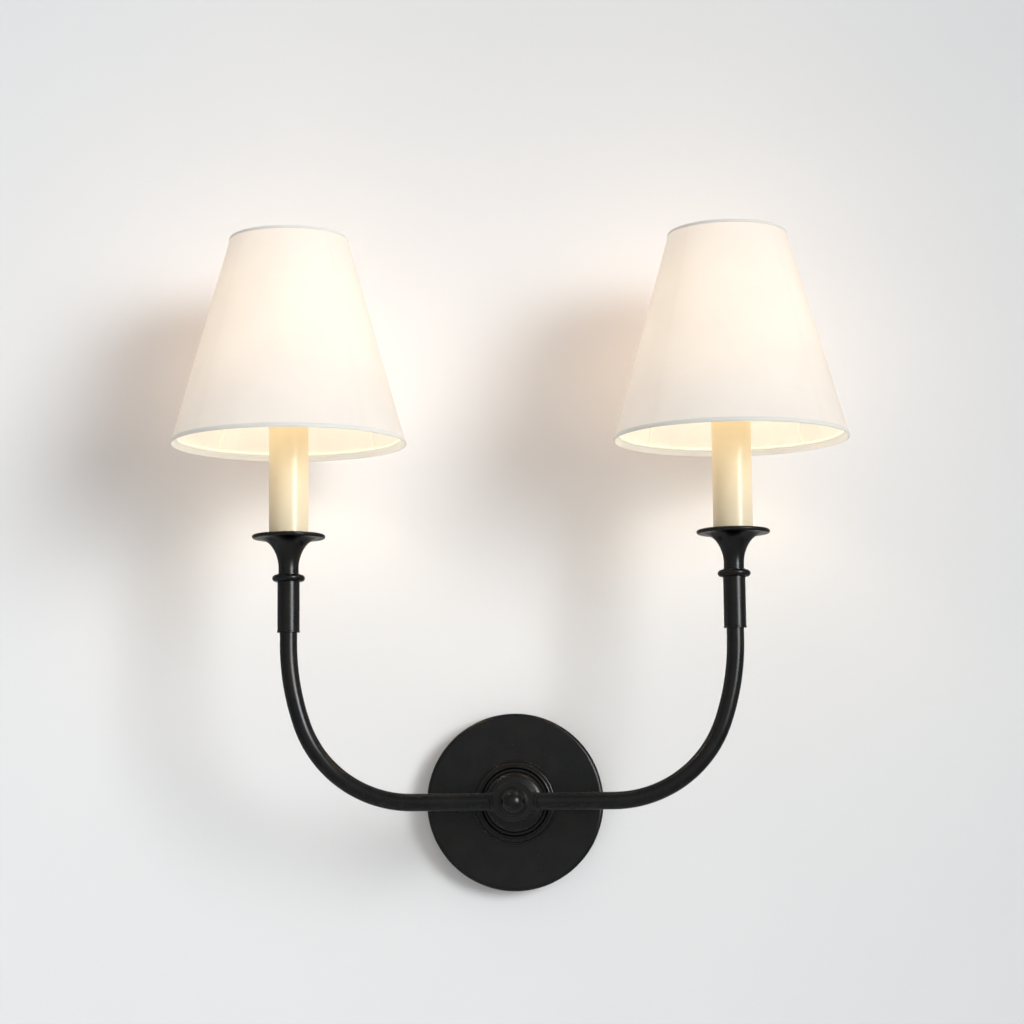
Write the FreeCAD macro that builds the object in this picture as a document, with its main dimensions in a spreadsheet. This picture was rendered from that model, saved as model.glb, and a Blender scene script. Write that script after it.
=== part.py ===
import FreeCAD, Part

import math
import os
import re

import Sketcher
from FreeCAD import Placement, Rotation, Vector

# Double arm wall sconce, in millimetres.
# The origin is the middle of the wall plate's rear rim, on the wall. X runs to the right,
# Y into the wall and Z up, so the lamp stands out of the wall towards -Y.
# "Out" means a distance from the wall, and "height" a distance above the hub's axis.

SIZES = {
    # wall plate, a dished steel disc that is open at the back
    "plate_diameter": 118.0,
    "plate_depth": 15.0,
    "plate_wall": 1.2,
    "plate_edge_radius": 2.6,
    # bracket that the wall box's screws hold, with two upturned lugs
    "bracket_thickness": 2.0,
    "bracket_bar_length": 104.0,
    "bracket_bar_width": 20.0,
    "bracket_hole_diameter": 16.0,
    "slot_spacing": 79.4,
    "slot_travel": 9.5,
    "slot_width": 4.6,
    "lug_width": 12.0,
    "lug_height": 10.5,
    "lug_gap": 0.6,
    "rim_screw_diameter": 3.0,
    "rim_screw_length": 8.0,
    "rim_screw_out": 7.0,
    "earth_screw_place": 20.0,
    "earth_screw_diameter": 4.0,
    "earth_head_diameter": 7.5,
    "earth_head_height": 2.6,
    # terminal block on the bracket's lower leg
    "block_width": 26.0,
    "block_length": 15.0,
    "block_height": 9.5,
    "block_place": 17.0,
    "block_pitch": 8.0,
    "block_screw_diameter": 3.4,
    "block_screw_length": 4.0,
    # hollow threaded rod that ties plate, boss, stem and hub together
    "rod_diameter": 9.7,
    "rod_bore": 7.0,
    "thread_gap": 0.1,
    "washer_diameter": 24.0,
    "washer_thickness": 1.0,
    "nut_across_flats": 14.0,
    "nut_height": 3.4,
    "rod_past_nut": 0.6,
    # stepped boss in front of the plate
    "boss_diameter": 59.0,
    "boss_step_height": 1.8,
    "boss_groove_diameter": 56.4,
    "boss_groove_height": 0.7,
    "boss_ring_diameter": 55.2,
    "boss_ring_height": 1.6,
    "boss_bead_diameter": 49.0,
    "boss_bead_height": 1.3,
    "dome_diameter": 40.6,
    "dome_height": 14.3,
    "dome_shoulder_radius": 5.5,
    "dome_slope_turn": 12.0,
    "dome_top_diameter": 17.6,
    # stem between boss and hub
    "stem_diameter": 15.0,
    "stem_ring_height": 3.6,
    # hub, its cover and its finial
    "arm_reach": 100.0,
    "hub_diameter": 25.6,
    "hub_length": 26.0,
    "hub_wall": 3.0,
    "hub_back_radius": 3.5,
    "hub_flat_depth": 0.7,
    "cover_thickness": 2.4,
    "cover_spigot": 1.6,
    "cover_rim_width": 1.1,
    "cover_rim_height": 0.6,
    "finial_seat_gap": 0.2,
    "finial_flange_diameter": 18.8,
    "finial_flange_height": 1.5,
    "finial_neck_diameter": 9.4,
    "finial_neck_height": 1.2,
    "finial_ball_diameter": 14.7,
    "finial_stud_diameter": 4.0,
    "finial_stud_length": 5.0,
    # arms and the collars where they enter the hub
    "collar_diameter": 12.3,
    "collar_length": 3.1,
    "arm_spacing": 285.2,
    "arm_diameter": 11.1,
    "arm_bore": 7.4,
    "arm_thread_diameter": 9.7,
    "arm_thread_length": 5.4,
    "arm_bend_radius": 74.0,
    "arm_sweep_radius": 157.0,
    "arm_sweep_turn": 19.2,
    "arm_end_height": 118.0,
    # ferrule and bead ring on the arm's upper end
    "slip_gap": 0.15,
    "ferrule_bottom": 108.7,
    "ferrule_length": 32.1,
    "ferrule_diameter": 14.2,
    "ferrule_lip": 0.25,
    "ferrule_lip_height": 0.8,
    "bead_diameter": 21.0,
    "bead_height": 4.3,
    "bead_seat_diameter": 14.6,
    "bead_seat_height": 0.5,
    # drip cup
    "cup_neck_diameter": 12.9,
    "cup_neck_height": 3.9,
    "cup_flare_radius": 24.0,
    "cup_flare_turn": 35.0,
    "cup_lip_radius": 12.0,
    "cup_diameter": 47.0,
    "cup_rim_height": 2.6,
    "cup_rim_width": 2.0,
    "cup_pan_rise": 2.0,
    "cup_seat_drop": 0.3,
    # candle sleeve
    "sleeve_diameter": 25.4,
    "sleeve_wall": 1.2,
    "sleeve_length": 102.4,
    # lampholder inside the sleeve
    "holder_diameter": 20.0,
    "holder_length": 38.3,
    "holder_recess": 0.7,
    "holder_floor_height": 12.0,
    "holder_flat": 8.6,
    "shell_diameter": 14.4,
    "shell_wall": 0.6,
    "shell_length": 24.3,
    "contact_diameter": 6.0,
    "contact_height": 2.6,
    "leg_base_thickness": 1.5,
    "leg_width": 7.0,
    "leg_thickness": 1.2,
    "leg_overlap": 11.0,
    "leg_gap": 0.05,
    "holder_screw_diameter": 2.4,
    "holder_screw_length": 5.0,
    "holder_head_diameter": 4.4,
    "holder_head_height": 1.1,
    "holder_screw_rise": 6.0,
    # flexible leads
    "lead_diameter": 3.0,
    "lead_spread": 3.2,
    "lead_hub_bend": 5.0,
    "lead_wall_bend": 4.2,
    "lead_past_rod": 0.5,
    # bulb
    "bulb_tip_gap": 0.3,
    "cap_tip_diameter": 4.8,
    "cap_tip_height": 1.5,
    "cap_diameter": 11.9,
    "cap_length": 22.1,
    "cap_wall": 0.5,
    "glass_wall": 0.8,
    "glass_neck_diameter": 10.6,
    "glass_in_cap": 8.0,
    "glass_neck_turn": 26.0,
    "glass_diameter": 35.0,
    "glass_belly_rise": 29.5,
    "glass_length": 75.5,
    "glass_tip_diameter": 7.0,
    "filament_foot_height": 2.0,
    "filament_foot_gap": 0.05,
    "filament_stem_diameter": 5.0,
    "filament_stem_length": 17.0,
    "filament_rod_diameter": 1.8,
    "filament_rod_circle": 9.0,
    "filament_rod_length": 40.0,
    "filament_plate_height": 1.0,
    "filament_plate_diameter": 12.0,
    # wire clip that grips the bulb
    "clip_wire_diameter": 1.6,
    "clip_gap": 0.5,
    "clip_seat_gap": 0.3,
    "clip_leg_drop": 37.0,
    "eye_diameter": 5.2,
    "eye_length": 9.0,
    "eye_clearance": 0.08,
    "eye_sink": 0.4,
    # lampshade
    "shade_bottom": 229.8,
    "shade_height": 136.1,
    "shade_bottom_diameter": 152.4,
    "shade_top_diameter": 75.8,
    "fabric_thickness": 0.8,
    "tape_thickness": 0.4,
    "tape_gap": 0.05,
    "bottom_tape_width": 2.7,
    "top_tape_width": 1.6,
    "shade_ring_wire": 2.4,
    "shade_ring_gap": 0.15,
    "rib_wire": 2.0,
    "rib_gap": 0.15,
    "rib_end_gap": 0.15,
    "bridge_wire": 2.4,
    "bridge_bend_radius": 5.0,
}

RIB_COUNT = 4
FILAMENT_COUNT = 4
SIDES = {"left": -1, "right": 1}

# What follows from the sizes. Radii and places of pieces that fit are worked out from each other here.
FORMULAS = {
    "plate_radius": "plate_diameter / 2",
    "plate_inside": "plate_radius - plate_wall",
    "rod_hole": "rod_diameter / 2 + thread_gap",
    "rod_rear": "plate_depth - plate_wall - washer_thickness - nut_height - rod_past_nut",
    "lug_face": "plate_inside - lug_gap",
    "boss_step_top": "plate_depth + boss_step_height",
    "boss_groove_top": "boss_step_top + boss_groove_height",
    "boss_ring_top": "boss_groove_top + boss_ring_height",
    "dome_top": "boss_ring_top + dome_height",
    "dome_shoulder_across": "dome_diameter / 2 - dome_shoulder_radius * (1 - sin(dome_slope_turn))",
    "dome_shoulder_top": "dome_top - (dome_shoulder_across - dome_top_diameter / 2) * tan(dome_slope_turn)",
    "dome_side_top": "dome_shoulder_top - dome_shoulder_radius * cos(dome_slope_turn)",
    "hub_back": "arm_reach - hub_length / 2",
    "hub_front": "arm_reach + hub_length / 2",
    "hub_radius": "hub_diameter / 2",
    "hub_cavity_radius": "hub_radius - hub_wall",
    "hub_cavity_back": "hub_back + hub_wall",
    "cover_back": "hub_front - cover_thickness",
    "finial_back": "hub_front + finial_seat_gap",
    "flange_front": "finial_back + finial_flange_height",
    "neck_front": "flange_front + finial_neck_height",
    "ball_radius": "finial_ball_diameter / 2",
    "ball_sink": "ball_radius - sqrt(ball_radius * ball_radius - pow(finial_neck_diameter / 2; 2))",
    "ball_front": "neck_front + finial_ball_diameter - ball_sink",
    "ball_middle": "ball_front - ball_radius",
    "collar_seat": "hub_radius - hub_flat_depth",
    "arm_start": "collar_seat + collar_length",
    "candle_place": "arm_spacing / 2",
    "bend_across": "arm_bend_radius * cos(arm_sweep_turn)",
    "bend_start": "candle_place - bend_across - arm_sweep_radius * (1 - cos(arm_sweep_turn))",
    "sweep_start": "bend_start + bend_across",
    "sweep_start_height": "arm_bend_radius * (1 - sin(arm_sweep_turn))",
    "sweep_end_height": "arm_bend_radius + (arm_sweep_radius - arm_bend_radius) * sin(arm_sweep_turn)",
    "ferrule_top": "ferrule_bottom + ferrule_length",
    "bead_top": "ferrule_top + bead_height + 2 * bead_seat_height",
    "cup_neck_top": "bead_top + cup_neck_height",
    "cup_flare_across": "cup_neck_diameter / 2 + cup_flare_radius * (1 - cos(cup_flare_turn))",
    "cup_flare_top": "cup_neck_top + cup_flare_radius * sin(cup_flare_turn)",
    "cup_lip_across": "cup_flare_across + cup_lip_radius * cos(cup_flare_turn)",
    "cup_lip_height": "cup_flare_top + cup_lip_radius * (1 - sin(cup_flare_turn))",
    "cup_rim_top": "cup_lip_height + cup_rim_height",
    "cup_seat": "cup_lip_height - cup_seat_drop",
    "cup_seat_radius": "sleeve_diameter / 2 + 4 * slip_gap",
    "sleeve_top": "cup_seat + sleeve_length",
    "leg_base_top": "cup_seat + leg_base_thickness",
    "candle_nut_top": "leg_base_top + nut_height",
    "candle_rod_top": "candle_nut_top + rod_past_nut",
    "holder_top": "sleeve_top - holder_recess",
    "holder_bottom": "holder_top - holder_length",
    "holder_floor": "holder_bottom + holder_floor_height",
    "holder_bore": "shell_diameter / 2 + slip_gap",
    "leg_inside": "holder_flat + leg_gap",
    "leg_outside": "leg_inside + leg_thickness",
    "cap_tip": "holder_floor + contact_height + bulb_tip_gap",
    "cap_bottom": "cap_tip + cap_tip_height",
    "cap_top": "cap_bottom + cap_length",
    "glass_bottom": "cap_top - glass_in_cap",
    "glass_belly": "cap_top + glass_belly_rise",
    "glass_top": "cap_top + glass_length",
    "glass_tip_middle": "glass_top - glass_tip_diameter / 2",
    "glass_taper": "(glass_diameter - glass_tip_diameter) / (2 * (glass_tip_middle - glass_belly))",
    "glass_lean": "sqrt(1 - glass_taper * glass_taper)",
    "filament_foot_top": "glass_bottom + filament_foot_height",
    "filament_stem_top": "filament_foot_top + filament_stem_length",
    "clip_radius": "glass_diameter / 2 + clip_gap + clip_wire_diameter / 2",
    "clip_top": "glass_top + clip_seat_gap + clip_wire_diameter / 2",
    "clip_shoulder": "clip_top - clip_radius",
    "clip_leg_end": "clip_shoulder - clip_leg_drop",
    "eye_height": "clip_top + clip_wire_diameter / 2 + eye_diameter / 2 - eye_sink",
    "shade_top": "shade_bottom + shade_height",
    "shade_slope": "(shade_bottom_diameter - shade_top_diameter) / (2 * shade_height)",
    "shade_foot_radius": "shade_bottom_diameter / 2",
    "shade_head_radius": "shade_top_diameter / 2",
    "fabric_foot": "shade_foot_radius - tape_thickness * (1 + shade_slope)",
    "fabric_head": "shade_head_radius - tape_thickness * (1 - shade_slope)",
    "fabric_foot_inside": "fabric_foot - fabric_thickness",
    "tape_leg": "tape_thickness - tape_gap",
    "foot_ring_height": "shade_bottom + bottom_tape_width + shade_ring_gap + shade_ring_wire / 2",
    "head_ring_height": "shade_top - top_tape_width - shade_ring_gap - shade_ring_wire / 2",
    "ring_setback": "shade_ring_gap + shade_ring_wire / 2 * sqrt(1 + shade_slope * shade_slope)",
    "foot_ring_radius": "fabric_foot_inside - ring_setback"
                        " - (foot_ring_height - shade_bottom - tape_thickness) * shade_slope",
    "head_ring_radius": "fabric_foot_inside - ring_setback"
                        " - (head_ring_height - shade_bottom - tape_thickness) * shade_slope",
    "rib_setback": "rib_gap + rib_wire / 2 * sqrt(1 + shade_slope * shade_slope)",
    "rib_bottom": "foot_ring_height + shade_ring_wire / 2 + rib_end_gap",
    "rib_top": "head_ring_height - shade_ring_wire / 2 - rib_end_gap",
    "rib_foot_radius": "fabric_foot_inside - rib_setback"
                       " - (rib_bottom - shade_bottom - tape_thickness) * shade_slope",
    "rib_head_radius": "rib_foot_radius - (rib_top - rib_bottom) * shade_slope",
    "bridge_top": "head_ring_height - shade_ring_wire / 2 - rib_end_gap",
}


def formula(text):
    """Spell out a formula of named sizes in cells of the size sheet."""
    def spell(match):
        name = match.group(0)
        if name in FORMULAS:
            return "(" + formula(FORMULAS[name]) + ")"
        if name in SIZES:
            return "Sizes." + name
        return name
    return re.sub(r"[a-z_]+", spell, text)


def number(text):
    """Work out a formula of named sizes."""
    result = sheet.evalExpression(formula(text))
    return float(getattr(result, "Value", result))


def make_sheet():
    """Put every driving size into the sheet under its own name."""
    table = doc.addObject("Spreadsheet::Sheet", "Sizes")
    for row, (name, size) in enumerate(SIZES.items(), start=1):
        table.set("A%d" % row, name)
        table.set("B%d" % row, str(size))
        table.setAlias("B%d" % row, name)
    doc.recompute()
    return table


def tie(thing, prop, text):
    """Bind one property of a thing to named sizes."""
    thing.setExpression(prop, formula(text))


def fix_point(sketch, line, end, across, up):
    """Hold a point of the sketch at named distances from its origin."""
    for kind, text, axis in (("DistanceX", across, -2), ("DistanceY", up, -1)):
        size = number(text)
        if abs(size) < 1e-9:
            sketch.addConstraint(Sketcher.Constraint("PointOnObject", line, end, axis))
            continue
        if size > 0:
            held = Sketcher.Constraint(kind, -1, 1, line, end, size)
            place = sketch.addConstraint(held)
            tie(sketch, "Constraints[%d]" % place, text)
        else:
            held = Sketcher.Constraint(kind, line, end, -1, 1, -size)
            place = sketch.addConstraint(held)
            tie(sketch, "Constraints[%d]" % place, "-(" + text + ")")


def arc_between(start, end, radius, turns_left):
    """The short arc from start to end, and whether it runs from start to end anticlockwise."""
    chord = end - start
    middle = (start + end) / 2
    rise = math.sqrt(max(0.0, radius * radius - chord.Length * chord.Length / 4))
    left = Vector(-chord.y, chord.x, 0)
    left.normalize()
    centre = middle + left * (rise if turns_left else -rise)
    circle = Part.Circle(centre, Vector(0, 0, 1), radius)
    first, last = (start, end) if turns_left else (end, start)
    first_angle = math.atan2(first.y - centre.y, first.x - centre.x)
    last_angle = math.atan2(last.y - centre.y, last.x - centre.x)
    if last_angle <= first_angle:
        last_angle += 2 * math.pi
    return Part.ArcOfCircle(circle, first_angle, last_angle)


def draw(sketch, points, closed=True):
    """Draw lines and arcs through points.

    Each point is (across, up), or (across, up, turn, radius) where the stretch to the next
    point is an arc that turns left or right.
    """
    places = [Vector(number(point[0]), number(point[1]), 0) for point in points]
    last = len(points) if closed else len(points) - 1
    ends = []
    for index in range(last):
        point = points[index]
        start = places[index]
        end = places[(index + 1) % len(points)]
        if len(point) == 2:
            line = sketch.addGeometry(Part.LineSegment(start, end))
            ends.append((line, 1, 2))
            continue
        turns_left = point[2] == "left"
        line = sketch.addGeometry(arc_between(start, end, number(point[3]), turns_left))
        ends.append((line, 1, 2) if turns_left else (line, 2, 1))
        place = sketch.addConstraint(Sketcher.Constraint("Radius", line, number(point[3])))
        tie(sketch, "Constraints[%d]" % place, point[3])
    for index, (line, start, end) in enumerate(ends):
        fix_point(sketch, line, start, points[index][0], points[index][1])
        if closed or index + 1 < len(ends):
            after = ends[(index + 1) % len(ends)]
            sketch.addConstraint(Sketcher.Constraint("Coincident", line, end, after[0], after[1]))
        else:
            fix_point(sketch, line, end, points[index + 1][0], points[index + 1][1])


def draw_circle(sketch, across, up, radius):
    """Draw a circle of named size at a named place."""
    centre = Vector(number(across), number(up), 0)
    line = sketch.addGeometry(Part.Circle(centre, Vector(0, 0, 1), number(radius)))
    place = sketch.addConstraint(Sketcher.Constraint("Radius", line, number(radius)))
    tie(sketch, "Constraints[%d]" % place, radius)
    fix_point(sketch, line, 3, across, up)


def draw_box(sketch, left, bottom, right, top):
    """Draw a rectangle between two corners."""
    draw(sketch, [(left, bottom), (right, bottom), (right, top), (left, top)])


def new_body(label):
    """Start a piece of its own."""
    body = doc.addObject("PartDesign::Body", label)
    body.Label = label
    body.AllowCompound = True
    return body


def origin_plane(body, role):
    """One of the body's own origin planes."""
    return [feature for feature in body.Origin.OriginFeatures if feature.Role == role][0]


def new_sketch(body, role="XZ_Plane", offset="0"):
    """Start a sketch on one of the body's origin planes, or at an offset from it."""
    sketch = body.newObject("Sketcher::SketchObject", body.Name + "_sketch")
    sketch.AttachmentSupport = (origin_plane(body, role), [""])
    sketch.MapMode = "FlatFace"
    if offset != "0":
        tie(sketch, "AttachmentOffset.Base.z", offset)
    return sketch


def turn(body, points):
    """Turn a profile of (radius, height) points about the body's Z axis."""
    sketch = new_sketch(body)
    draw(sketch, points)
    feature = body.newObject("PartDesign::Revolution", body.Name + "_turning")
    feature.Profile = sketch
    feature.ReferenceAxis = (sketch, ["V_Axis"])
    feature.Angle = 360
    return feature


def pad(body, sketch, length):
    """Pad a sketch along its normal."""
    feature = body.newObject("PartDesign::Pad", body.Name + "_pad")
    feature.Profile = sketch
    tie(feature, "Length", length)
    return feature


def pocket_both_ways(body, sketch, length):
    """Cut a sketch out of the body, half of the length to each side of the sketch."""
    feature = body.newObject("PartDesign::Pocket", body.Name + "_pocket")
    feature.Profile = sketch
    feature.Midplane = True
    tie(feature, "Length", length)
    return feature


def bend(body, section, path):
    """Carry a section along a path."""
    feature = body.newObject("PartDesign::AdditivePipe", body.Name + "_pipe")
    feature.Profile = section
    feature.Spine = path
    return feature


def turned(label, points):
    """A piece that is turned from one profile."""
    body = new_body(label)
    turn(body, points)
    return body


def tube_points(outside, inside, bottom, top):
    """Profile of a plain tube, given as radii and heights."""
    return [(inside, bottom), (outside, bottom), (outside, top), (inside, top)]


def on_wall_axis(piece):
    """Lay a piece so that its own Z axis points out of the wall."""
    piece.Placement = Placement(Vector(), Rotation(Vector(1, 0, 0), 90))
    return piece


def on_candle_axis(piece, side):
    """Stand a piece on the candle axis of one side."""
    tie(piece, "Placement.Base.x", "%d * candle_place" % SIDES[side])
    tie(piece, "Placement.Base.y", "-arm_reach")
    return piece


def at_hub(piece, side):
    """Put a piece that points along +X from the hub on one side of it."""
    if side == "left":
        piece.Placement = Placement(Vector(), Rotation(Vector(0, 0, 1), 180))
    tie(piece, "Placement.Base.y", "-arm_reach")
    return piece


def keep(piece):
    """List a finished piece, which is written under its label."""
    pieces.append(piece)
    return piece


def keep_pair(label, left, right):
    """Keep two identical fasteners as one group of separate solids."""
    group = doc.addObject("Part::Compound", label)
    group.Label = label
    group.Links = [left, right]
    return keep(group)


def make_backplate():
    """Dished disc with a rounded front edge, a middle hole and two rim screw holes."""
    body = turned("backplate", [
        ("rod_hole", "plate_depth"),
        ("plate_radius - plate_edge_radius", "plate_depth", "right", "plate_edge_radius"),
        ("plate_radius", "plate_depth - plate_edge_radius"),
        ("plate_radius", "0"),
        ("plate_inside", "0"),
        ("plate_inside", "plate_depth - plate_edge_radius", "left", "plate_edge_radius - plate_wall"),
        ("plate_radius - plate_edge_radius", "plate_depth - plate_wall"),
        ("rod_hole", "plate_depth - plate_wall"),
    ])
    holes = new_sketch(body)
    draw_circle(holes, "0", "rim_screw_out", "rim_screw_diameter / 2 + slip_gap")
    pocket_both_ways(body, holes, "plate_diameter + 2 * plate_wall")
    keep(on_wall_axis(body))


def make_wall_bracket():
    """Flat cross with a slotted bar, two lugs for the rim screws and a middle hole."""
    body = new_body("wall_bracket")
    bar = new_sketch(body, "XY_Plane")
    draw_box(bar, "-bracket_bar_length / 2", "-bracket_bar_width / 2",
             "bracket_bar_length / 2", "bracket_bar_width / 2")
    pad(body, bar, "bracket_thickness")
    legs = new_sketch(body, "XY_Plane")
    draw_box(legs, "-lug_width / 2", "-lug_face", "lug_width / 2", "lug_face")
    pad(body, legs, "bracket_thickness")
    for sign in ("", "-"):
        lug = new_sketch(body, "XY_Plane")
        draw_box(lug, "-lug_width / 2", sign + "(lug_face - bracket_thickness)",
                 "lug_width / 2", sign + "lug_face")
        pad(body, lug, "lug_height")
    middle = new_sketch(body, "XY_Plane")
    draw_circle(middle, "0", "0", "bracket_hole_diameter / 2")
    pocket_both_ways(body, middle, "4 * bracket_thickness")
    for sign in ("", "-"):
        slot = new_sketch(body, "XY_Plane")
        inner = "slot_spacing / 2 - slot_travel / 2"
        outer = "slot_spacing / 2 + slot_travel / 2"
        near, far = (inner, outer) if sign == "" else ("-(%s)" % outer, "-(%s)" % inner)
        draw(slot, [
            (near, "-slot_width / 2"),
            (far, "-slot_width / 2", "left", "slot_width / 2"),
            (far + " + slot_width / 2", "0", "left", "slot_width / 2"),
            (far, "slot_width / 2"),
            (near, "slot_width / 2", "left", "slot_width / 2"),
            (near + " - slot_width / 2", "0", "left", "slot_width / 2"),
        ])
        pocket_both_ways(body, slot, "4 * bracket_thickness")
    earth = new_sketch(body, "XY_Plane")
    draw_circle(earth, "earth_screw_place", "0", "earth_screw_diameter / 2 + thread_gap")
    pocket_both_ways(body, earth, "4 * bracket_thickness")
    taps = new_sketch(body)
    draw_circle(taps, "0", "rim_screw_out", "rim_screw_diameter / 2 + thread_gap")
    pocket_both_ways(body, taps, "plate_diameter")
    keep(on_wall_axis(body))


def make_rim_screws():
    """Two headless screws through the plate's rim into the bracket's lugs."""
    body = new_body("rim_screws")
    for sign in ("", "-"):
        end = new_sketch(body, "XZ_Plane", sign + "(plate_radius - rim_screw_length)")
        draw_circle(end, "0", "rim_screw_out", "rim_screw_diameter / 2")
        screw = pad(body, end, "rim_screw_length")
        screw.Reversed = sign == "-"
    keep(on_wall_axis(body))


def make_earth_screw():
    """Pan headed earth screw in the bracket's bar."""
    body = turned("earth_screw", [
        ("0", "0"),
        ("earth_screw_diameter / 2", "0"),
        ("earth_screw_diameter / 2", "bracket_thickness"),
        ("earth_head_diameter / 2", "bracket_thickness"),
        ("earth_head_diameter / 2", "bracket_thickness + earth_head_height"),
        ("0", "bracket_thickness + earth_head_height"),
    ])
    on_wall_axis(body)
    tie(body, "Placement.Base.x", "earth_screw_place")
    keep(body)


def make_terminal_block():
    """Three way terminal block on the bracket's lower leg, with its clamping screws."""
    block = new_body("terminal_block")
    base = new_sketch(block, "XY_Plane", "bracket_thickness")
    draw_box(base, "-block_width / 2", "-block_place - block_length",
             "block_width / 2", "-block_place")
    pad(block, base, "block_height")
    screws = new_body("terminal_screws")
    for step in (-1, 0, 1):
        place = "%d * block_pitch" % step
        middle = "-block_place - block_length / 2"
        bore = new_sketch(block, "XY_Plane", "bracket_thickness + block_height")
        draw_circle(bore, place, middle, "block_screw_diameter / 2 + slip_gap")
        pocket_both_ways(block, bore, "2 * block_screw_length")
        screw = new_sketch(screws, "XY_Plane",
                           "bracket_thickness + block_height - block_screw_length")
        draw_circle(screw, place, middle, "block_screw_diameter / 2")
        pad(screws, screw, "block_screw_length")
    keep(on_wall_axis(block))
    keep(on_wall_axis(screws))


def hexagon_nut(label, bottom):
    """Hexagon nut with a plain bore for the hollow rod."""
    outside = doc.addObject("Part::Prism", label + "_hexagon")
    outside.Polygon = 6
    tie(outside, "Circumradius", "nut_across_flats / sqrt(3)")
    tie(outside, "Height", "nut_height")
    tie(outside, "Placement.Base.z", bottom)
    bore = doc.addObject("Part::Cylinder", label + "_bore")
    tie(bore, "Radius", "rod_hole")
    tie(bore, "Height", "3 * nut_height")
    tie(bore, "Placement.Base.z", bottom + " - nut_height")
    nut = doc.addObject("Part::Cut", label)
    nut.Base = outside
    nut.Tool = bore
    nut.Label = label
    return nut


def make_tie_rod():
    """Hollow rod through plate, boss and stem, with a washer and nut behind the plate."""
    rod = turned("stem_rod", tube_points("rod_diameter / 2", "rod_bore / 2", "rod_rear", "hub_cavity_back"))
    keep(on_wall_axis(rod))
    face = "plate_depth - plate_wall"
    washer = turned("stem_washer", tube_points("washer_diameter / 2", "rod_hole",
                                               face + " - washer_thickness", face))
    keep(on_wall_axis(washer))
    nut = hexagon_nut("stem_locknut", face + " - washer_thickness - nut_height")
    keep(on_wall_axis(nut))


def make_canopy_boss():
    """Stepped boss with a half round bead around a middle that has a rounded shoulder and a sloping top."""
    bead = "boss_bead_diameter / 2"
    boss = turned("canopy_boss", [
        ("rod_hole", "plate_depth"),
        ("boss_diameter / 2", "plate_depth"),
        ("boss_diameter / 2", "boss_step_top"),
        ("boss_groove_diameter / 2", "boss_step_top"),
        ("boss_groove_diameter / 2 - boss_groove_height", "boss_groove_top"),
        ("boss_ring_diameter / 2 - boss_groove_height", "boss_groove_top", "left", "boss_ring_height"),
        ("boss_ring_diameter / 2 - boss_groove_height - boss_ring_height", "boss_ring_top"),
        (bead, "boss_ring_top", "left", "boss_bead_height"),
        (bead + " - boss_bead_height", "boss_ring_top + boss_bead_height", "left", "boss_bead_height"),
        (bead + " - 2 * boss_bead_height", "boss_ring_top"),
        ("dome_diameter / 2", "boss_ring_top"),
        ("dome_diameter / 2", "dome_side_top", "left", "dome_shoulder_radius"),
        ("dome_shoulder_across", "dome_shoulder_top"),
        ("dome_top_diameter / 2", "dome_top"),
        ("rod_hole", "dome_top"),
    ])
    keep(on_wall_axis(boss))


def make_stem():
    """Straight stem with a half round ring standing on it at each end."""
    ring = "stem_ring_height / 2"
    points = [("rod_hole", "dome_top")]
    for bottom in ("dome_top", "hub_back - stem_ring_height"):
        points += [
            ("stem_diameter / 2", bottom, "left", ring),
            ("stem_diameter / 2 + " + ring, bottom + " + " + ring, "left", ring),
            ("stem_diameter / 2", bottom + " + stem_ring_height"),
        ]
    points.append(("rod_hole", "hub_back"))
    keep(on_wall_axis(turned("stem", points)))


def make_hub():
    """Hollow hub with flats and bores for the arms, its cover and the ball finial."""
    hub = turned("hub_body", [
        ("rod_hole", "hub_back"),
        ("hub_radius - hub_back_radius", "hub_back", "left", "hub_back_radius"),
        ("hub_radius", "hub_back + hub_back_radius"),
        ("hub_radius", "cover_back"),
        ("hub_cavity_radius", "cover_back"),
        ("hub_cavity_radius", "hub_cavity_back"),
        ("rod_hole", "hub_cavity_back"),
    ])
    bores = new_sketch(hub, "YZ_Plane")
    draw_circle(bores, "0", "arm_reach", "arm_thread_diameter / 2 + thread_gap")
    pocket_both_ways(hub, bores, "2 * hub_diameter")
    for sign in ("", "-"):
        flat = new_sketch(hub, "YZ_Plane", sign + "(collar_seat + hub_flat_depth)")
        draw_circle(flat, "0", "arm_reach", "collar_diameter / 2 + slip_gap")
        pocket_both_ways(hub, flat, "2 * hub_flat_depth")
    keep(on_wall_axis(hub))

    stud_hole = "finial_stud_diameter / 2 + thread_gap"
    spigot = "hub_cavity_radius - slip_gap"
    cover = turned("hub_cover", [
        (stud_hole, "cover_back - cover_spigot"),
        (spigot, "cover_back - cover_spigot"),
        (spigot, "cover_back"),
        ("hub_radius", "cover_back"),
        ("hub_radius", "hub_front"),
        ("hub_radius - cover_rim_width / 3", "hub_front + cover_rim_height"),
        ("hub_radius - cover_rim_width", "hub_front + cover_rim_height"),
        ("hub_radius - cover_rim_width", "hub_front"),
        (stud_hole, "hub_front"),
    ])
    keep(on_wall_axis(cover))

    flange = "finial_flange_diameter / 2"
    finial = turned("finial", [
        ("0", "finial_back - finial_stud_length"),
        ("finial_stud_diameter / 2", "finial_back - finial_stud_length"),
        ("finial_stud_diameter / 2", "finial_back"),
        (flange, "finial_back"),
        (flange, "finial_back + finial_flange_height / 3"),
        (flange + " - finial_flange_height", "flange_front"),
        ("finial_neck_diameter / 2", "flange_front"),
        ("finial_neck_diameter / 2", "neck_front", "left", "ball_radius"),
        ("ball_radius", "ball_middle", "left", "ball_radius"),
        ("0", "ball_front"),
    ])
    keep(on_wall_axis(finial))


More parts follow.
